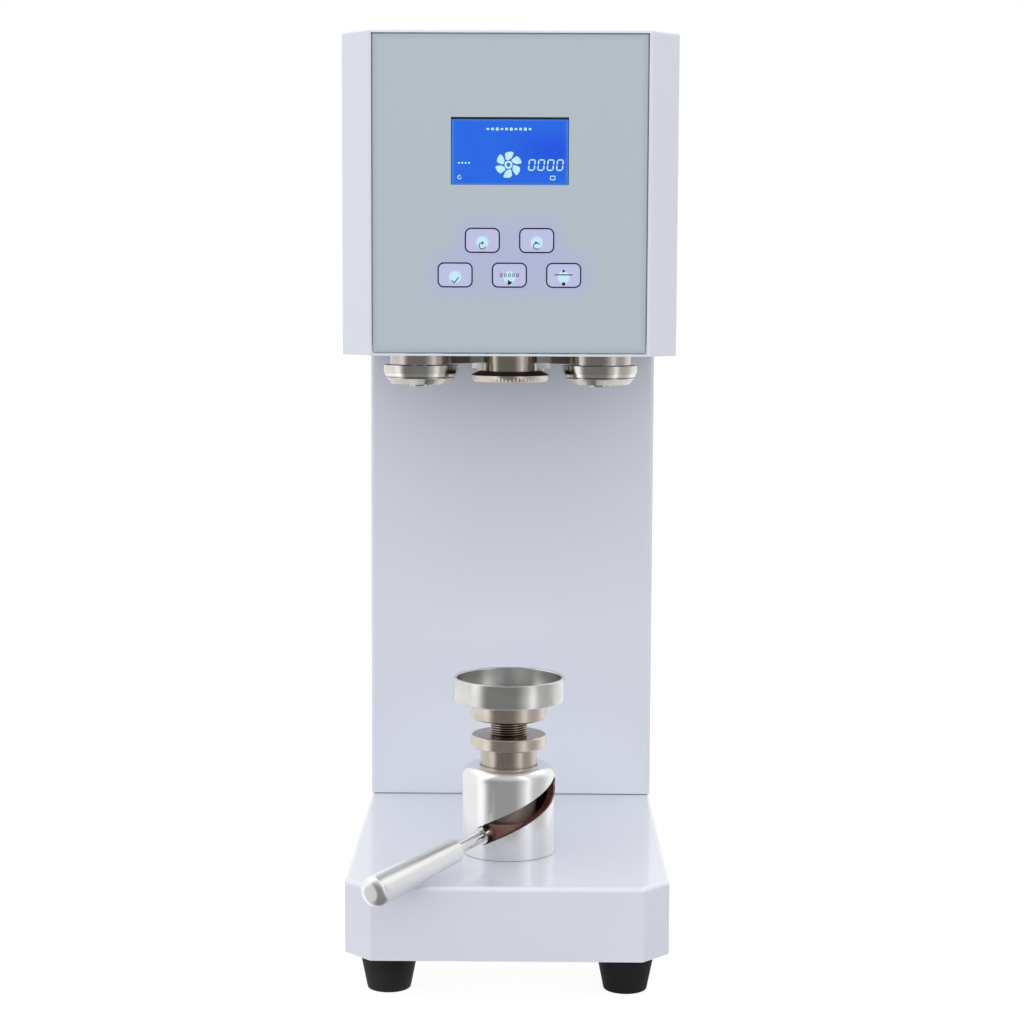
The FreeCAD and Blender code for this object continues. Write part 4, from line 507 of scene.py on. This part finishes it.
# %% Circuit boards
def board_finish():
    """Green lacquer over copper tracks, with bright solder dots on a grid."""
    material, shader, place = start_finish("board_lacquer", Roughness=0.35)
    x, y, z = parts_of(place)
    pitch = 5.08 * MM
    tracks = place.node("TexBrick", None, {"Vector": place.node("CombineXYZ", None, {0: x, 1: z}),
                                           "Scale": 60.0, "Mortar Size": 0.03}, out=1)
    cell_x = abs((x / pitch).fraction() - 0.5)
    cell_z = abs((z / pitch).fraction() - 0.5)
    dots = ((cell_x * cell_x + cell_z * cell_z) ** 0.5).ramp(0.17, 0.14)
    lacquer = blend_colours(tracks, (0.012, 0.10, 0.045, 1), (0.03, 0.17, 0.08, 1))
    feed(shader, Base_Color=blend_colours(dots, lacquer, (0.62, 0.60, 0.55, 1)), Metallic=dots,
         Normal=bumps(tracks + dots, 0.00003))
    return material


board_lacquer = board_finish()
print(board_lacquer.name)

# %% [markdown]
# ## Dress the solids
# A solid whose shape is right stays and only gets its finish in its material slots. The
# table below is the whole machine, piece by piece. Pieces made new further on replace theirs.

# %% Finishes on the solids
DRESS = {
    enamel: ["base_cover", "column_cover", "back_panel", "head_cover"],
    zinc_plate: ["base_plate", "column_frame", "panel_tray", "motor_plate", "motor_struts",
                 "lift_deck", "head_plate"],
    foot_rubber: ["rubber_feet"],
    black_screws: ["foot_screws", "frame_bolts", "cover_screws", "chuck_bolt",
                   "lift_housing_screws"],
    black_plastic: ["power_inlet", "power_switch_frame", "power_switch_rocker",
                    "display_module"],
    silver_case: ["power_supply", "spindle_housing"],
    board_lacquer: ["touch_board", "control_board"],
    ground_steel: ["spindle_bearings", "seat_bearing", "first_cam_follower",
                   "second_cam_follower"],
    motor_enamel: ["drive_motor", "first_cam_motor", "second_cam_motor"],
    plain_steel: ["board_posts", "arm_pivot_pins", "shaft_coupling", "motor_shaft", "first_cam",
                  "second_cam", "first_cam_shaft", "second_cam_shaft", "sleeve_retainer",
                  "guide_key"],
    spindle_steel: ["chuck_spindle"],
    chuck_steel: ["seaming_chuck"],
    ram_painted_shade_nickel: ["ram"],
    nut_nickel: ["lock_nut"],
    screw_nickel: ["adjust_screw"],
    roller_steel[-1]: ["first_roller", "first_roller_pin"],
    roller_steel[1]: ["second_roller", "second_roller_pin"],
    arm_steel: ["first_arm", "second_arm"],
    housing_aluminium: ["lift_housing"],
    grip_aluminium: ["lever_grip"],
    cup_aluminium: ["can_seat"],
    rod_chrome: ["lever_rod"],
    sleeve_oil: ["lever_sleeve"],
}

for finish, names in DRESS.items():
    for name in names:
        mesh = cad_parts[name].data
        mesh.materials.clear()
        mesh.materials.append(finish)
dressed = sum(len(names) for names in DRESS.values())
print("dressed", dressed, "of", len(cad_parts), "nodes")

# %% [markdown]
# ## Flat shapes
# The glass, the display and every printed mark are flat shapes that face forward. Each starts
# as a plane, a circle or a swept edge, gets its corners rounded while it's still flat, may
# be hollowed by an inset, and is then pushed back to its thickness. The place goes into the
# mesh, so every object stays at the origin.

# %% Flat shapes facing forward
UPRIGHT = (math.pi / 2, 0.0, 0.0)


def adopt(name, finish):
    """The object just made gets its name and finish and is left in edit mode, all selected."""
    thing = bpy.context.object
    thing.name = name
    thing.data.name = name
    thing.data.materials.append(finish)
    bpy.ops.object.transform_apply(location=True, rotation=True, scale=True)
    bpy.ops.object.mode_set(mode="EDIT")
    bpy.ops.mesh.select_all(action="SELECT")
    return thing


def turned_flat(thing, degrees, middle=(0.0, 0.0, 0.0)):
    """Turn a flat shape clockwise, as seen from the front."""
    there = Matrix.Translation(middle)
    thing.data.transform(there @ Matrix.Rotation(math.radians(degrees), 4, "Y")
                         @ there.inverted())
    return thing


def thicken(thing, thick):
    """Push the flat shape back to its thickness."""
    bpy.ops.mesh.extrude_region_move(TRANSFORM_OT_translate={"value": (0, thick, 0)})
    bpy.ops.mesh.select_all(action="SELECT")
    bpy.ops.mesh.normals_make_consistent(inside=False)
    bpy.ops.object.mode_set(mode="OBJECT")
    return thing


def slab(name, finish, centre, size, front, thick, corner=0.0, facets=6, wall=0.0, lean=0.0):
    """A rectangle in x and z with rounded corners; wall leaves only a frame of that width."""
    bpy.ops.object.select_all(action="DESELECT")
    bpy.ops.mesh.primitive_plane_add(size=1.0, rotation=UPRIGHT)
    thing = adopt(name, finish)
    place = Vector((centre[0], front, centre[1])) * MM
    bpy.ops.transform.resize(value=(size[0] * MM, 1.0, size[1] * MM), center_override=(0, 0, 0))
    bpy.ops.transform.translate(value=place)
    if corner:
        bpy.ops.mesh.bevel(offset=corner * MM, segments=facets, affect="VERTICES")
    if wall:
        bpy.ops.mesh.select_all(action="SELECT")
        bpy.ops.mesh.inset(thickness=wall * MM)
        bpy.ops.mesh.delete(type="FACE")
        bpy.ops.mesh.select_all(action="SELECT")
    return turned_flat(thicken(thing, thick * MM), lean, place)


def arc(name, finish, centre, inner, outer, begin, sweep, front, thick):
    """A curved band between two radii, counted in degrees from straight up, clockwise."""
    mesh = bpy.data.meshes.new(name)
    lift = Matrix.Rotation(math.radians(begin), 3, "Y")
    middle = Vector((centre[0], front, centre[1])) * MM
    mesh.from_pydata([middle + lift @ Vector((0, 0, radius * MM)) for radius in (inner, outer)],
                     [(0, 1)], [])
    thing = bpy.data.objects.new(name, mesh)
    bpy.context.scene.collection.objects.link(thing)
    bpy.ops.object.select_all(action="DESELECT")
    bpy.context.view_layer.objects.active = thing
    thing.select_set(True)
    adopt(name, finish)
    bpy.ops.mesh.spin(steps=max(6, round(abs(sweep) / 9)), angle=math.radians(-sweep),
                      center=middle, axis=(0, -1, 0))
    bpy.ops.mesh.select_all(action="SELECT")
    bpy.ops.mesh.remove_doubles(threshold=0.0001 * MM)
    return thicken(thing, thick * MM)


def joined(name, things):
    """One object out of several."""
    bpy.ops.object.select_all(action="DESELECT")
    for thing in things:
        thing.select_set(True)
    bpy.context.view_layer.objects.active = things[0]
    bpy.ops.object.join()
    things[0].name = name
    things[0].data.name = name
    return things[0]


print("flat shapes ready")

# %% [markdown]
# ## Glass front
# The front is one sheet of glass, painted pale grey green on its back, with a clear window
# for the display. The five keys are touch keys: only outlines printed on the glass, with a
# small lamp behind each. The lamps shine through the paint as pale spots in a violet haze,
# which is worked out from the distance to each key's rounded outline.

# %% Finishes of the glass front
def middle_height(node):
    """Height of a node's middle, in millimetres."""
    low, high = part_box(node)
    return (low.z + high.z) / 2 / MM


UPPER_ROW = middle_height("touch_board") + 10.0
LOWER_ROW = middle_height("touch_board") - 10.3
KEYS = [(-16.0, UPPER_ROW), (16.0, UPPER_ROW), (-32.0, LOWER_ROW), (0.0, LOWER_ROW),
        (32.0, LOWER_ROW)]
KEY_SIZE = (20.8, 14.8)
KEY_CORNER = 3.8
LAMP_DROP = 1.2
LAMP_RADIUS = 3.6
SCREEN_X, SCREEN_Z = 0.0, middle_height("display_module") - 0.4
SCREEN_HALF = (34.2, 18.9)


def painted_glass():
    """Grey green paint under glass, with painted shade at its edge, and the hazes, keys and lamps
    that shine through it.
    """
    material, shader, place = start_finish("painted_glass", Coat_Weight=1.0, Coat_Roughness=0.02,
                                           Roughness=0.5, Specular_IOR_Level=0.1)
    x, y, z = parts_of(place)
    haze = face = lamp = None
    for key_x, key_z in KEYS:
        off_x = abs(x - key_x * MM)
        off_z = abs(z - key_z * MM)
        out_x = (off_x - (KEY_SIZE[0] / 2 - KEY_CORNER) * MM).larger(0.0)
        out_z = (off_z - (KEY_SIZE[1] / 2 - KEY_CORNER) * MM).larger(0.0)
        gap = (out_x * out_x + out_z * out_z) ** 0.5 - KEY_CORNER * MM
        low_z = z - (key_z - LAMP_DROP) * MM
        reach = (off_x * off_x + low_z * low_z) ** 0.5
        key_haze = gap.ramp(15 * MM, -7 * MM)
        key_face = gap.ramp(0.1 * MM, -0.1 * MM)
        key_lamp = reach.ramp((LAMP_RADIUS + 0.5) * MM, (LAMP_RADIUS - 0.6) * MM)
        haze = key_haze if haze is None else haze + key_haze
        face = key_face if face is None else face + key_face
        lamp = key_lamp if lamp is None else lamp + key_lamp
    low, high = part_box("glass_panel")
    middle = (low + high) / 2
    side = abs(x - middle.x) - (high.x - low.x) / 2
    rise = abs(z - middle.z) - (high.z - low.z) / 2
    rim = side.larger(rise)
    cloud = noise(place, 6.0)
    paint = blend_colours(cloud, (0.505, 0.575, 0.625, 1), (0.530, 0.600, 0.650, 1))
    # Painted shade: the paint darkens over the last 5 mm toward the sheet's edge, and the thin
    # dark line at the very edge is a painted shadow of the gap.
    paint = blend_colours(rim.ramp(-5 * MM, -0.7 * MM) * 0.6, paint, (0.40, 0.49, 0.52, 1))
    paint = blend_colours(rim.ramp(-0.75 * MM, -0.45 * MM) * 0.7, paint, (0.14, 0.16, 0.20, 1))
    violet = blend_colours(haze.smaller(1.0) * 0.6, paint, (0.48, 0.52, 0.86, 1))
    lilac = blend_colours(face * 0.55, violet, (0.66, 0.66, 0.98, 1))
    lit = blend_colours(lamp, (0, 0, 0, 1), (0.16, 0.98, 0.62, 1))
    feed(shader, Base_Color=lilac, Emission_Color=lit)
    shader.inputs["Emission Strength"].default_value = 0.3
    return material


def screen_light():
    """The lit face of the display, deeper blue at the right and paler along its edges."""
    material, shader, place = start_finish("screen_light", Base_Color=(0.005, 0.01, 0.03, 1),
                                           Roughness=0.25, Emission_Strength=1.0)
    x, y, z = parts_of(place)
    side = abs(x - SCREEN_X * MM) - (SCREEN_HALF[0] - 2.6) * MM
    rise = abs(z - SCREEN_Z * MM) - (SCREEN_HALF[1] - 1.6) * MM
    rim = side.ramp(0.0, 3.2 * MM).larger(rise.ramp(0.0, 2.2 * MM))
    deep = x.ramp(-10 * MM, 24 * MM) * abs(z - SCREEN_Z * MM).ramp(18 * MM, 0.0)
    blue = blend_colours(deep, (0.006, 0.130, 0.80, 1), (0.001, 0.080, 0.78, 1))
    feed(shader, Emission_Color=blend_colours(rim * 0.55, blue, (0.06, 0.33, 0.88, 1)))
    return material


def glowing_marks():
    """The pale light of the display's signs."""
    material, shader, place = start_finish("glowing_marks", Base_Color=(0.1, 0.1, 0.1, 1),
                                           Emission_Strength=1.0)
    feed(shader, Emission_Color=blend_colours(noise(place, 900.0), (0.46, 0.82, 0.95, 1),
                                              (0.60, 0.90, 0.97, 1)))
    return material


def clear_glass():
    """The pane of the display's window."""
    material, shader, place = start_finish("clear_glass", Transmission_Weight=1.0, IOR=1.45,
                                           Base_Color=(0.98, 1.0, 0.99, 1))
    feed(shader, Roughness=noise(place, 30.0) * 0.02)
    return material


def key_ink():
    """Dark blue printing ink."""
    material, shader, place = start_finish("key_ink", Specular_IOR_Level=0.15)
    feed(shader, Base_Color=blend_colours(noise(place, 2000.0), (0.008, 0.010, 0.035, 1),
                                          (0.014, 0.017, 0.050, 1)),
         Roughness=0.3 + noise(place, 500.0) * 0.1)
    return material


glass_paint, screen_blue = painted_glass(), screen_light()
mark_light, pane_glass, ink = glowing_marks(), clear_glass(), key_ink()
print("glass finishes ready")

# %% [markdown]
# ## The glass sheet and the display
# The sheet is a rounded rectangle, cut into strips round the window and left open there. A
# clear pane closes the window flush, and the lit face of the display stands just behind it,
# a little short at the top, where the dark module shows.

# %% Glass sheet with its window
GLASS_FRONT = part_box("glass_panel")[0].y / MM
GLASS_CORNER = 1.5
WINDOW_X = 34.6
WINDOW_Z = (SCREEN_Z - 19.2, SCREEN_Z + 20.1)
PANE_THICK, PANE_GAP = 1.0, 0.05
SCREEN_FRONT, SCREEN_THICK = GLASS_FRONT + 2.6, 0.4


def glass_sheet():
    """The node's outline, pushed back to its thickness, with a hole for the window."""
    low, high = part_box("glass_panel")
    bpy.ops.object.select_all(action="DESELECT")
    bpy.ops.mesh.primitive_plane_add(size=1.0, rotation=UPRIGHT)
    sheet = adopt("panel_glass", glass_paint)
    bpy.ops.transform.resize(value=(high.x - low.x, 1.0, high.z - low.z),
                             center_override=(0, 0, 0))
    bpy.ops.transform.translate(value=((high.x + low.x) / 2, low.y, (high.z + low.z) / 2))
    bpy.ops.mesh.bevel(offset=GLASS_CORNER * MM, segments=6, affect="VERTICES")
    cuts = [((side * WINDOW_X * MM, 0, 0), (1, 0, 0)) for side in (-1, 1)]
    cuts += [((0, 0, level * MM), (0, 0, 1)) for level in WINDOW_Z]
    for place, facing in cuts:
        bpy.ops.mesh.select_all(action="SELECT")
        bpy.ops.mesh.bisect(plane_co=place, plane_no=facing)
    bpy.ops.object.mode_set(mode="OBJECT")
    for face in sheet.data.polygons:
        inside = abs(face.center.x) < WINDOW_X * MM
        face.select = inside and WINDOW_Z[0] * MM < face.center.z < WINDOW_Z[1] * MM
    bpy.ops.object.mode_set(mode="EDIT")
    bpy.ops.mesh.select_mode(type="FACE")
    bpy.ops.mesh.delete(type="FACE")
    bpy.ops.mesh.select_all(action="SELECT")
    thicken(sheet, high.y - low.y)
    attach(sheet, "frame")
    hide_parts("glass_panel")
    return sheet


sheet = glass_sheet()
pane_size = (2 * (WINDOW_X - PANE_GAP), WINDOW_Z[1] - WINDOW_Z[0] - 2 * PANE_GAP)
pane = slab("window_pane", pane_glass, (0.0, sum(WINDOW_Z) / 2), pane_size, GLASS_FRONT,
            PANE_THICK)
screen = slab("screen_face", screen_blue, (SCREEN_X, SCREEN_Z),
              (2 * SCREEN_HALF[0], 2 * SCREEN_HALF[1]), SCREEN_FRONT, SCREEN_THICK)
for piece in (pane, screen):
    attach(piece, "frame")
print("sheet faces:", len(sheet.data.polygons))

# %% [markdown]
# ## What the display shows
# A rotor with six blades stands for the running spindle and four plain digits count the
# closed cans. The digits are made like those of any segment display, from short bars with
# pointed ends, leaning a little. Where such displays have words there are plain marks.

# %% Marks of the display
MARK_FRONT, MARK_THICK = SCREEN_FRONT - 0.1, 0.1
BLADE_SIZE = (4.3, 4.9)
BLADE_SWEEP, BLADE_OUT, BLADE_TURN = 0.9, 5.15, 2.0
LEAN = 6.5


def mark(name, centre, size, corner=0.0, facets=6, **more):
    """A flat lit mark on the display's face."""
    return slab(name, mark_light, centre, size, MARK_FRONT, MARK_THICK, corner, facets, **more)


def rotor(centre):
    """Six curved blades round a ring, each a band that narrows toward the hub."""
    blades = []
    for number in range(6):
        blade = mark("blade", (0, 0), BLADE_SIZE, 1.7)
        for corner in blade.data.vertices:
            out = 2 * corner.co.z / (BLADE_SIZE[1] * MM)
            corner.co.x *= 1.0 + 0.34 * out
            corner.co.x += BLADE_SWEEP * MM * out * abs(out)
            corner.co.z += BLADE_OUT * MM
        turned_flat(blade, 60 * number + BLADE_TURN)
        blade.data.transform(Matrix.Translation(Vector((centre[0], 0, centre[1])) * MM))
        blades.append(blade)
    hub = arc("hub", mark_light, centre, 1.15, 2.35, 0, 360, MARK_FRONT, MARK_THICK)
    return blades + [hub]


def digit_zero(centre, width=4.2, height=6.8, bar=0.8):
    """A leaning 0 made of six bars."""
    bars = []
    slope = math.tan(math.radians(LEAN))
    reach = height / 2 - bar / 2
    for level in (-reach, reach):
        bars.append(mark("bar", (centre[0] + level * slope, centre[1] + level),
                         (width - 1.5 * bar, bar), 0.38 * bar, 1))
    for side in (-1, 1):
        for level in (-reach / 2, reach / 2):
            middle = (centre[0] + side * (width - bar) / 2 + level * slope, centre[1] + level)
            bars.append(mark("bar", middle, (bar, reach - 0.5), 0.38 * bar, 1, lean=LEAN))
    return bars


def display_marks():
    """The rotor, four digits, two rows of blocks, a ring with its bar, and a cup."""
    marks = rotor((SCREEN_X - 0.8, SCREEN_Z - 7.4))
    for place in range(4):
        marks += digit_zero((SCREEN_X + 12.9 + 5.5 * place, SCREEN_Z - 7.5))
    for block in range(10):
        marks.append(mark("block", (SCREEN_X - 13.0 + 2.75 * block, SCREEN_Z + 13.3),
                          (1.7, 1.2 + 0.3 * (block % 3)), 0.4, 2))
    for block in range(4):
        marks.append(mark("block", (SCREEN_X - 30.0 + 2.0 * block, SCREEN_Z - 6.4), (1.2, 1.0),
                          0.3, 2))
    marks.append(arc("ring", mark_light, (SCREEN_X - 29.6, SCREEN_Z - 14.7), 0.85, 1.3, 30, 300,
                     MARK_FRONT, MARK_THICK))
    marks.append(mark("bar", (SCREEN_X - 29.6, SCREEN_Z - 13.8), (0.45, 1.3)))
    marks.append(mark("cup", (SCREEN_X + 25.2, SCREEN_Z - 15.0), (3.2, 2.6), 0.5, 2, wall=0.5))
    return joined("display_marks", marks)


shown = display_marks()
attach(shown, "frame")
print("display marks:", len(shown.data.polygons), "faces")

# %% [markdown]
# ## Printed keys
# Each key is a thin dark outline with a sign inside: on and off, start again, confirm, choose
# and start over stop. They are printed, so they stand a few hundredths of a millimetre
# proud of the glass.

# %% Outlines and signs of the keys
INK_FRONT, INK_THICK = GLASS_FRONT - 0.04, 0.06
RING = (1.6, 2.1)
SIGN_DROP = -3.2


def printed(centre, size, corner=0.0, facets=6, **more):
    """A flat sign of ink."""
    return slab("sign", ink, centre, size, INK_FRONT, INK_THICK, corner, facets, **more)


def printed_arc(centre, begin, sweep):
    """The open ring of a sign."""
    return arc("sign", ink, centre, *RING, begin, sweep, INK_FRONT, INK_THICK)


def triangle(centre, radius):
    """A triangle that points to the right."""
    bpy.ops.object.select_all(action="DESELECT")
    bpy.ops.mesh.primitive_circle_add(vertices=3, radius=radius * MM, fill_type="NGON",
                                      rotation=UPRIGHT)
    sign = adopt("sign", ink)
    thicken(sign, INK_THICK * MM)
    turned_flat(sign, 90)
    sign.data.transform(Matrix.Translation(Vector((centre[0], INK_FRONT, centre[1])) * MM))
    return sign


def key_signs():
    """Each key's outline, then the signs of the five keys in turn."""
    power, again, confirm, choose, run = KEYS
    signs = [slab("outline", ink, key, KEY_SIZE, INK_FRONT, INK_THICK, KEY_CORNER, 8, wall=0.8)
             for key in KEYS]
    signs.append(printed_arc((power[0], power[1] + SIGN_DROP), 35, 290))
    signs.append(printed((power[0], power[1] + SIGN_DROP + 1.5), (0.5, 2.1)))
    signs.append(printed_arc((again[0], again[1] + SIGN_DROP), 60, 285))
    signs.append(triangle((again[0] - 0.3, again[1] + SIGN_DROP + 1.85), 1.1))
    signs.append(printed((confirm[0] - 1.3, confirm[1] + SIGN_DROP - 0.65), (0.55, 2.2),
                         lean=-40))
    signs.append(printed((confirm[0] + 0.75, confirm[1] + SIGN_DROP + 0.1), (0.55, 4.2),
                         lean=40))
    for step in range(-2, 3):
        signs.append(printed((choose[0] + step * 2.4, choose[1]), (1.4, 2.0), 0.4, 2, wall=0.35))
    signs.append(triangle((choose[0], choose[1] - 4.4), 1.9))
    signs.append(printed((run[0], run[1] + 0.3), (10.6, 0.6)))
    signs.append(triangle((run[0], run[1] + 2.5), 1.2))
    signs.append(printed((run[0], run[1] - 5.0), (1.8, 1.8)))
    return joined("key_signs", signs)


signs = key_signs()
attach(signs, "frame")
print("key signs:", len(signs.data.polygons), "faces")

# %% [markdown]
# ## Seaming chuck
# The chuck fits into the lid and drives the can round. Its polished rim narrows downward and
# has fine upright flutes that grip the lid; the cone above it is black. A lathe shape
# comes from turning its outline round the axis, and here the ring has two steps for each
# flute, so that every second one can be drawn in to cut the flutes.

# %% Chuck, turned and fluted
FLUTES = 72
FLUTE_DEPTH = 0.4
RIM_RADIUS = 25


def spun(name, finish, outline, steps=96):
    """Turn an outline of (radius, height) in millimetres round the upright axis."""
    mesh = bpy.data.meshes.new(name)
    points = [(radius * MM, 0.0, height * MM) for radius, height in outline]
    mesh.from_pydata(points, [(n, n + 1) for n in range(len(points) - 1)], [])
    thing = bpy.data.objects.new(name, mesh)
    bpy.context.scene.collection.objects.link(thing)
    mesh.materials.append(finish)
    bpy.ops.object.select_all(action="DESELECT")
    bpy.context.view_layer.objects.active = thing
    thing.select_set(True)
    turning = thing.modifiers.new("turn", "SCREW")
    turning.steps = turning.render_steps = steps
    turning.use_merge_vertices = True
    turning.merge_threshold = 0.001 * MM
    bpy.ops.object.modifier_apply(modifier=turning.name)
    bpy.ops.object.mode_set(mode="EDIT")
    bpy.ops.mesh.select_all(action="SELECT")
    bpy.ops.mesh.remove_doubles(threshold=0.001 * MM)
    bpy.ops.mesh.normals_make_consistent(inside=False)
    bpy.ops.object.mode_set(mode="OBJECT")
    bpy.ops.object.shade_smooth_by_angle(angle=math.radians(30))
    return thing


def chuck():
    """A black cone over a rim that narrows downward, with shallow upright flutes."""
    low, high = (corner.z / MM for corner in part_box("seaming_chuck"))
    rim_top = low + 4.0
    turned = spun("chuck", chuck_steel, [
        (5.2, high), (20, high), (RIM_RADIUS, rim_top), (RIM_RADIUS, rim_top - 0.3),
        (23.4, low + 0.4), (23.0, low), (9, low), (9, low + 3.2), (5.2, low + 3.2),
        (5.2, high)], 2 * FLUTES)
    for corner in turned.data.vertices:
        spot = corner.co
        step = round(math.atan2(spot.y, spot.x) / math.pi * FLUTES)
        if step % 2 and math.hypot(spot.x, spot.y) > 22 * MM and spot.z < (rim_top - 0.1) * MM:
            spot.x *= 1 - FLUTE_DEPTH / RIM_RADIUS
            spot.y *= 1 - FLUTE_DEPTH / RIM_RADIUS
    bpy.ops.object.shade_smooth_by_angle(angle=math.radians(30))
    return turned


wheel = chuck()
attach(wheel, "spindle")
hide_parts("seaming_chuck")
print("chuck:", len(wheel.data.polygons), "faces")

# %% [markdown]
# ## Adjusting screw
# The seat's height is set by a screw of 24 mm with a pitch of 1.5 mm. A thread is one notch
# swept round the axis while it rises by its pitch, which the Screw modifier does from an
# outline of three lines. A plain core inside closes its ends, and the flange that carries the
# bearing is turned round the same axis.

# %% Screw with its thread
PITCH_OF_THREAD = 1.5
FLANGE_HEIGHT = 11.1


def adjusting_screw():
    """A plain core with its flange, and the thread wound round it."""
    low, high = (corner.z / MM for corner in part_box("adjust_screw"))
    flange_low = high - FLANGE_HEIGHT
    core = THREAD_RADIUS - THREAD_DEPTH
    body = spun("screw_body", screw_nickel, [
        (0, low), (core - 0.4, low), (core, low + 0.4), (core, flange_low - 0.5),
        (core + 0.8, flange_low), (23.2, flange_low), (24, flange_low + 0.8),
        (24, high - 0.8), (23.2, high), (17.4, high), (17, high - 0.4), (17, high - 6),
        (0, high - 6)])
    turns = math.floor((flange_low - low - 1.0) / PITCH_OF_THREAD)
    mesh = bpy.data.meshes.new("screw_thread")
    base = low + 0.5
    notch = [(core - 0.05, base), (THREAD_RADIUS - 0.1, base + 0.40 * PITCH_OF_THREAD),
             (THREAD_RADIUS - 0.1, base + 0.55 * PITCH_OF_THREAD),
             (core - 0.05, base + 0.95 * PITCH_OF_THREAD)]
    mesh.from_pydata([(radius * MM, 0, height * MM) for radius, height in notch],
                     [(0, 1), (1, 2), (2, 3)], [])
    thread = bpy.data.objects.new("screw_thread", mesh)
    bpy.context.scene.collection.objects.link(thread)
    mesh.materials.append(screw_nickel)
    bpy.ops.object.select_all(action="DESELECT")
    bpy.context.view_layer.objects.active = thread
    thread.select_set(True)
    winding = thread.modifiers.new("winding", "SCREW")
    winding.steps = winding.render_steps = 64
    winding.iterations = turns
    winding.screw_offset = PITCH_OF_THREAD * MM
    bpy.ops.object.modifier_apply(modifier=winding.name)
    bpy.ops.object.shade_smooth_by_angle(angle=math.radians(25))
    return joined("adjusting_screw", [body, thread])


screw = adjusting_screw()
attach(screw, "adjust_screw")
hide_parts("adjust_screw")
print("adjusting screw:", len(screw.data.polygons), "faces")

# %% [markdown]
# ## Floor and room
# The machine stands on a pale floor in a white room, and polished metal shows that room as
# upright bands. Ahead, where the viewer stands, the room is dark. From the left comes the
# brightest light, from a wide window, and from the right a weaker one with a gap in it. One
# function of the direction gives the brightness, and the floor repeats it for reflections,
# because round metal seen from slightly above mirrors the floor far ahead. Matt surfaces
# are lit by a soft light without bands instead, brightest from low down ahead.

# %% Brightness of the room
AHEAD_LIGHT, WINDOW_LIGHT, SIDE_LIGHT = 0.22, 0.74, 0.52
FLOOR_SIZE = 30.0


def room_brightness(x, y):
    """How bright the room is in the direction of a place; 0 is ahead, to the right positive."""
    turn = x.maths("ARCTAN2", x, 0 - y)
    window = turn.ramp(-0.85, -1.25)
    side = turn.ramp(0.25, 0.85)
    gap = turn.ramp(0.95, 1.25) * turn.ramp(1.95, 1.55)
    behind = turn.ramp(1.8, 2.2)
    left_glint = turn.ramp(-1.05, -1.2) * turn.ramp(-1.55, -1.4)
    right_glint = turn.ramp(0.70, 0.88) * turn.ramp(1.12, 0.94)
    return (AHEAD_LIGHT + window * WINDOW_LIGHT + side * SIDE_LIGHT - gap * 0.22 + behind * 0.3
            + left_glint * 0.25 + right_glint * 0.38)


def add_floor():
    """A white floor to the camera that mirrors as the room does and throws back a third."""
    bpy.ops.object.select_all(action="DESELECT")
    bpy.ops.mesh.primitive_plane_add(size=FLOOR_SIZE, location=(0, 0, 0))
    floor = bpy.context.object
    floor.name = "floor"
    material, shader, place = start_finish("floor", Roughness=1.0, Specular_IOR_Level=0.0,
                                           Emission_Strength=1.0)
    path = place.tree.nodes.new("ShaderNodeLightPath")
    seen = Wire(place.tree, path.outputs["Is Camera Ray"])
    mirrored = Wire(place.tree, path.outputs["Is Glossy Ray"])
    x, y, z = parts_of(place)
    bounced = blend_colours(mirrored, (0.33, 0.33, 0.34, 1), (0, 0, 0, 1))
    feed(shader, Base_Color=blend_colours(seen, bounced, (0.22, 0.22, 0.225, 1)),
         Emission_Color=seen * 0.90 + mirrored * room_brightness(x, y + 50 * MM))
    floor.data.materials.append(material)


def add_room():
    """The banded light for mirrors, the soft one for matt surfaces, and white behind all."""
    world = bpy.data.worlds.new("white_room")
    bpy.context.scene.world = world
    world.use_nodes = True
    tree = world.node_tree
    back = tree.nodes["Background"]
    path = tree.nodes.new("ShaderNodeLightPath")
    seen = Wire(tree, path.outputs["Is Camera Ray"])
    mirrored = Wire(tree, path.outputs["Is Glossy Ray"])
    x, y, z = parts_of(Wire(tree, tree.nodes.new("ShaderNodeTexCoord").outputs["Generated"]))
    bands = room_brightness(x, y) + z.ramp(0.35, 0.8) * 0.35
    ahead = (0 - y).ramp(0.1, 0.9) * z.ramp(0.45, 0.1)
    left, above = (0 - x).ramp(-0.9, 0.9), z.ramp(0.1, 0.9)
    soft = 0.93 + left * 0.14 + above * 0.14 + ahead * 1.1
    lit = seen.node("Mix", {"data_type": "FLOAT"}, {0: mirrored, 2: soft, 3: bands})
    total = seen.node("Mix", {"data_type": "FLOAT"}, {0: seen, 2: lit, 3: 1.0})
    tree.links.new(total.socket, back.inputs["Strength"])
    back.inputs["Color"].default_value = (1.0, 1.0, 1.0, 1.0)


add_floor()
add_room()
print("floor and room ready")
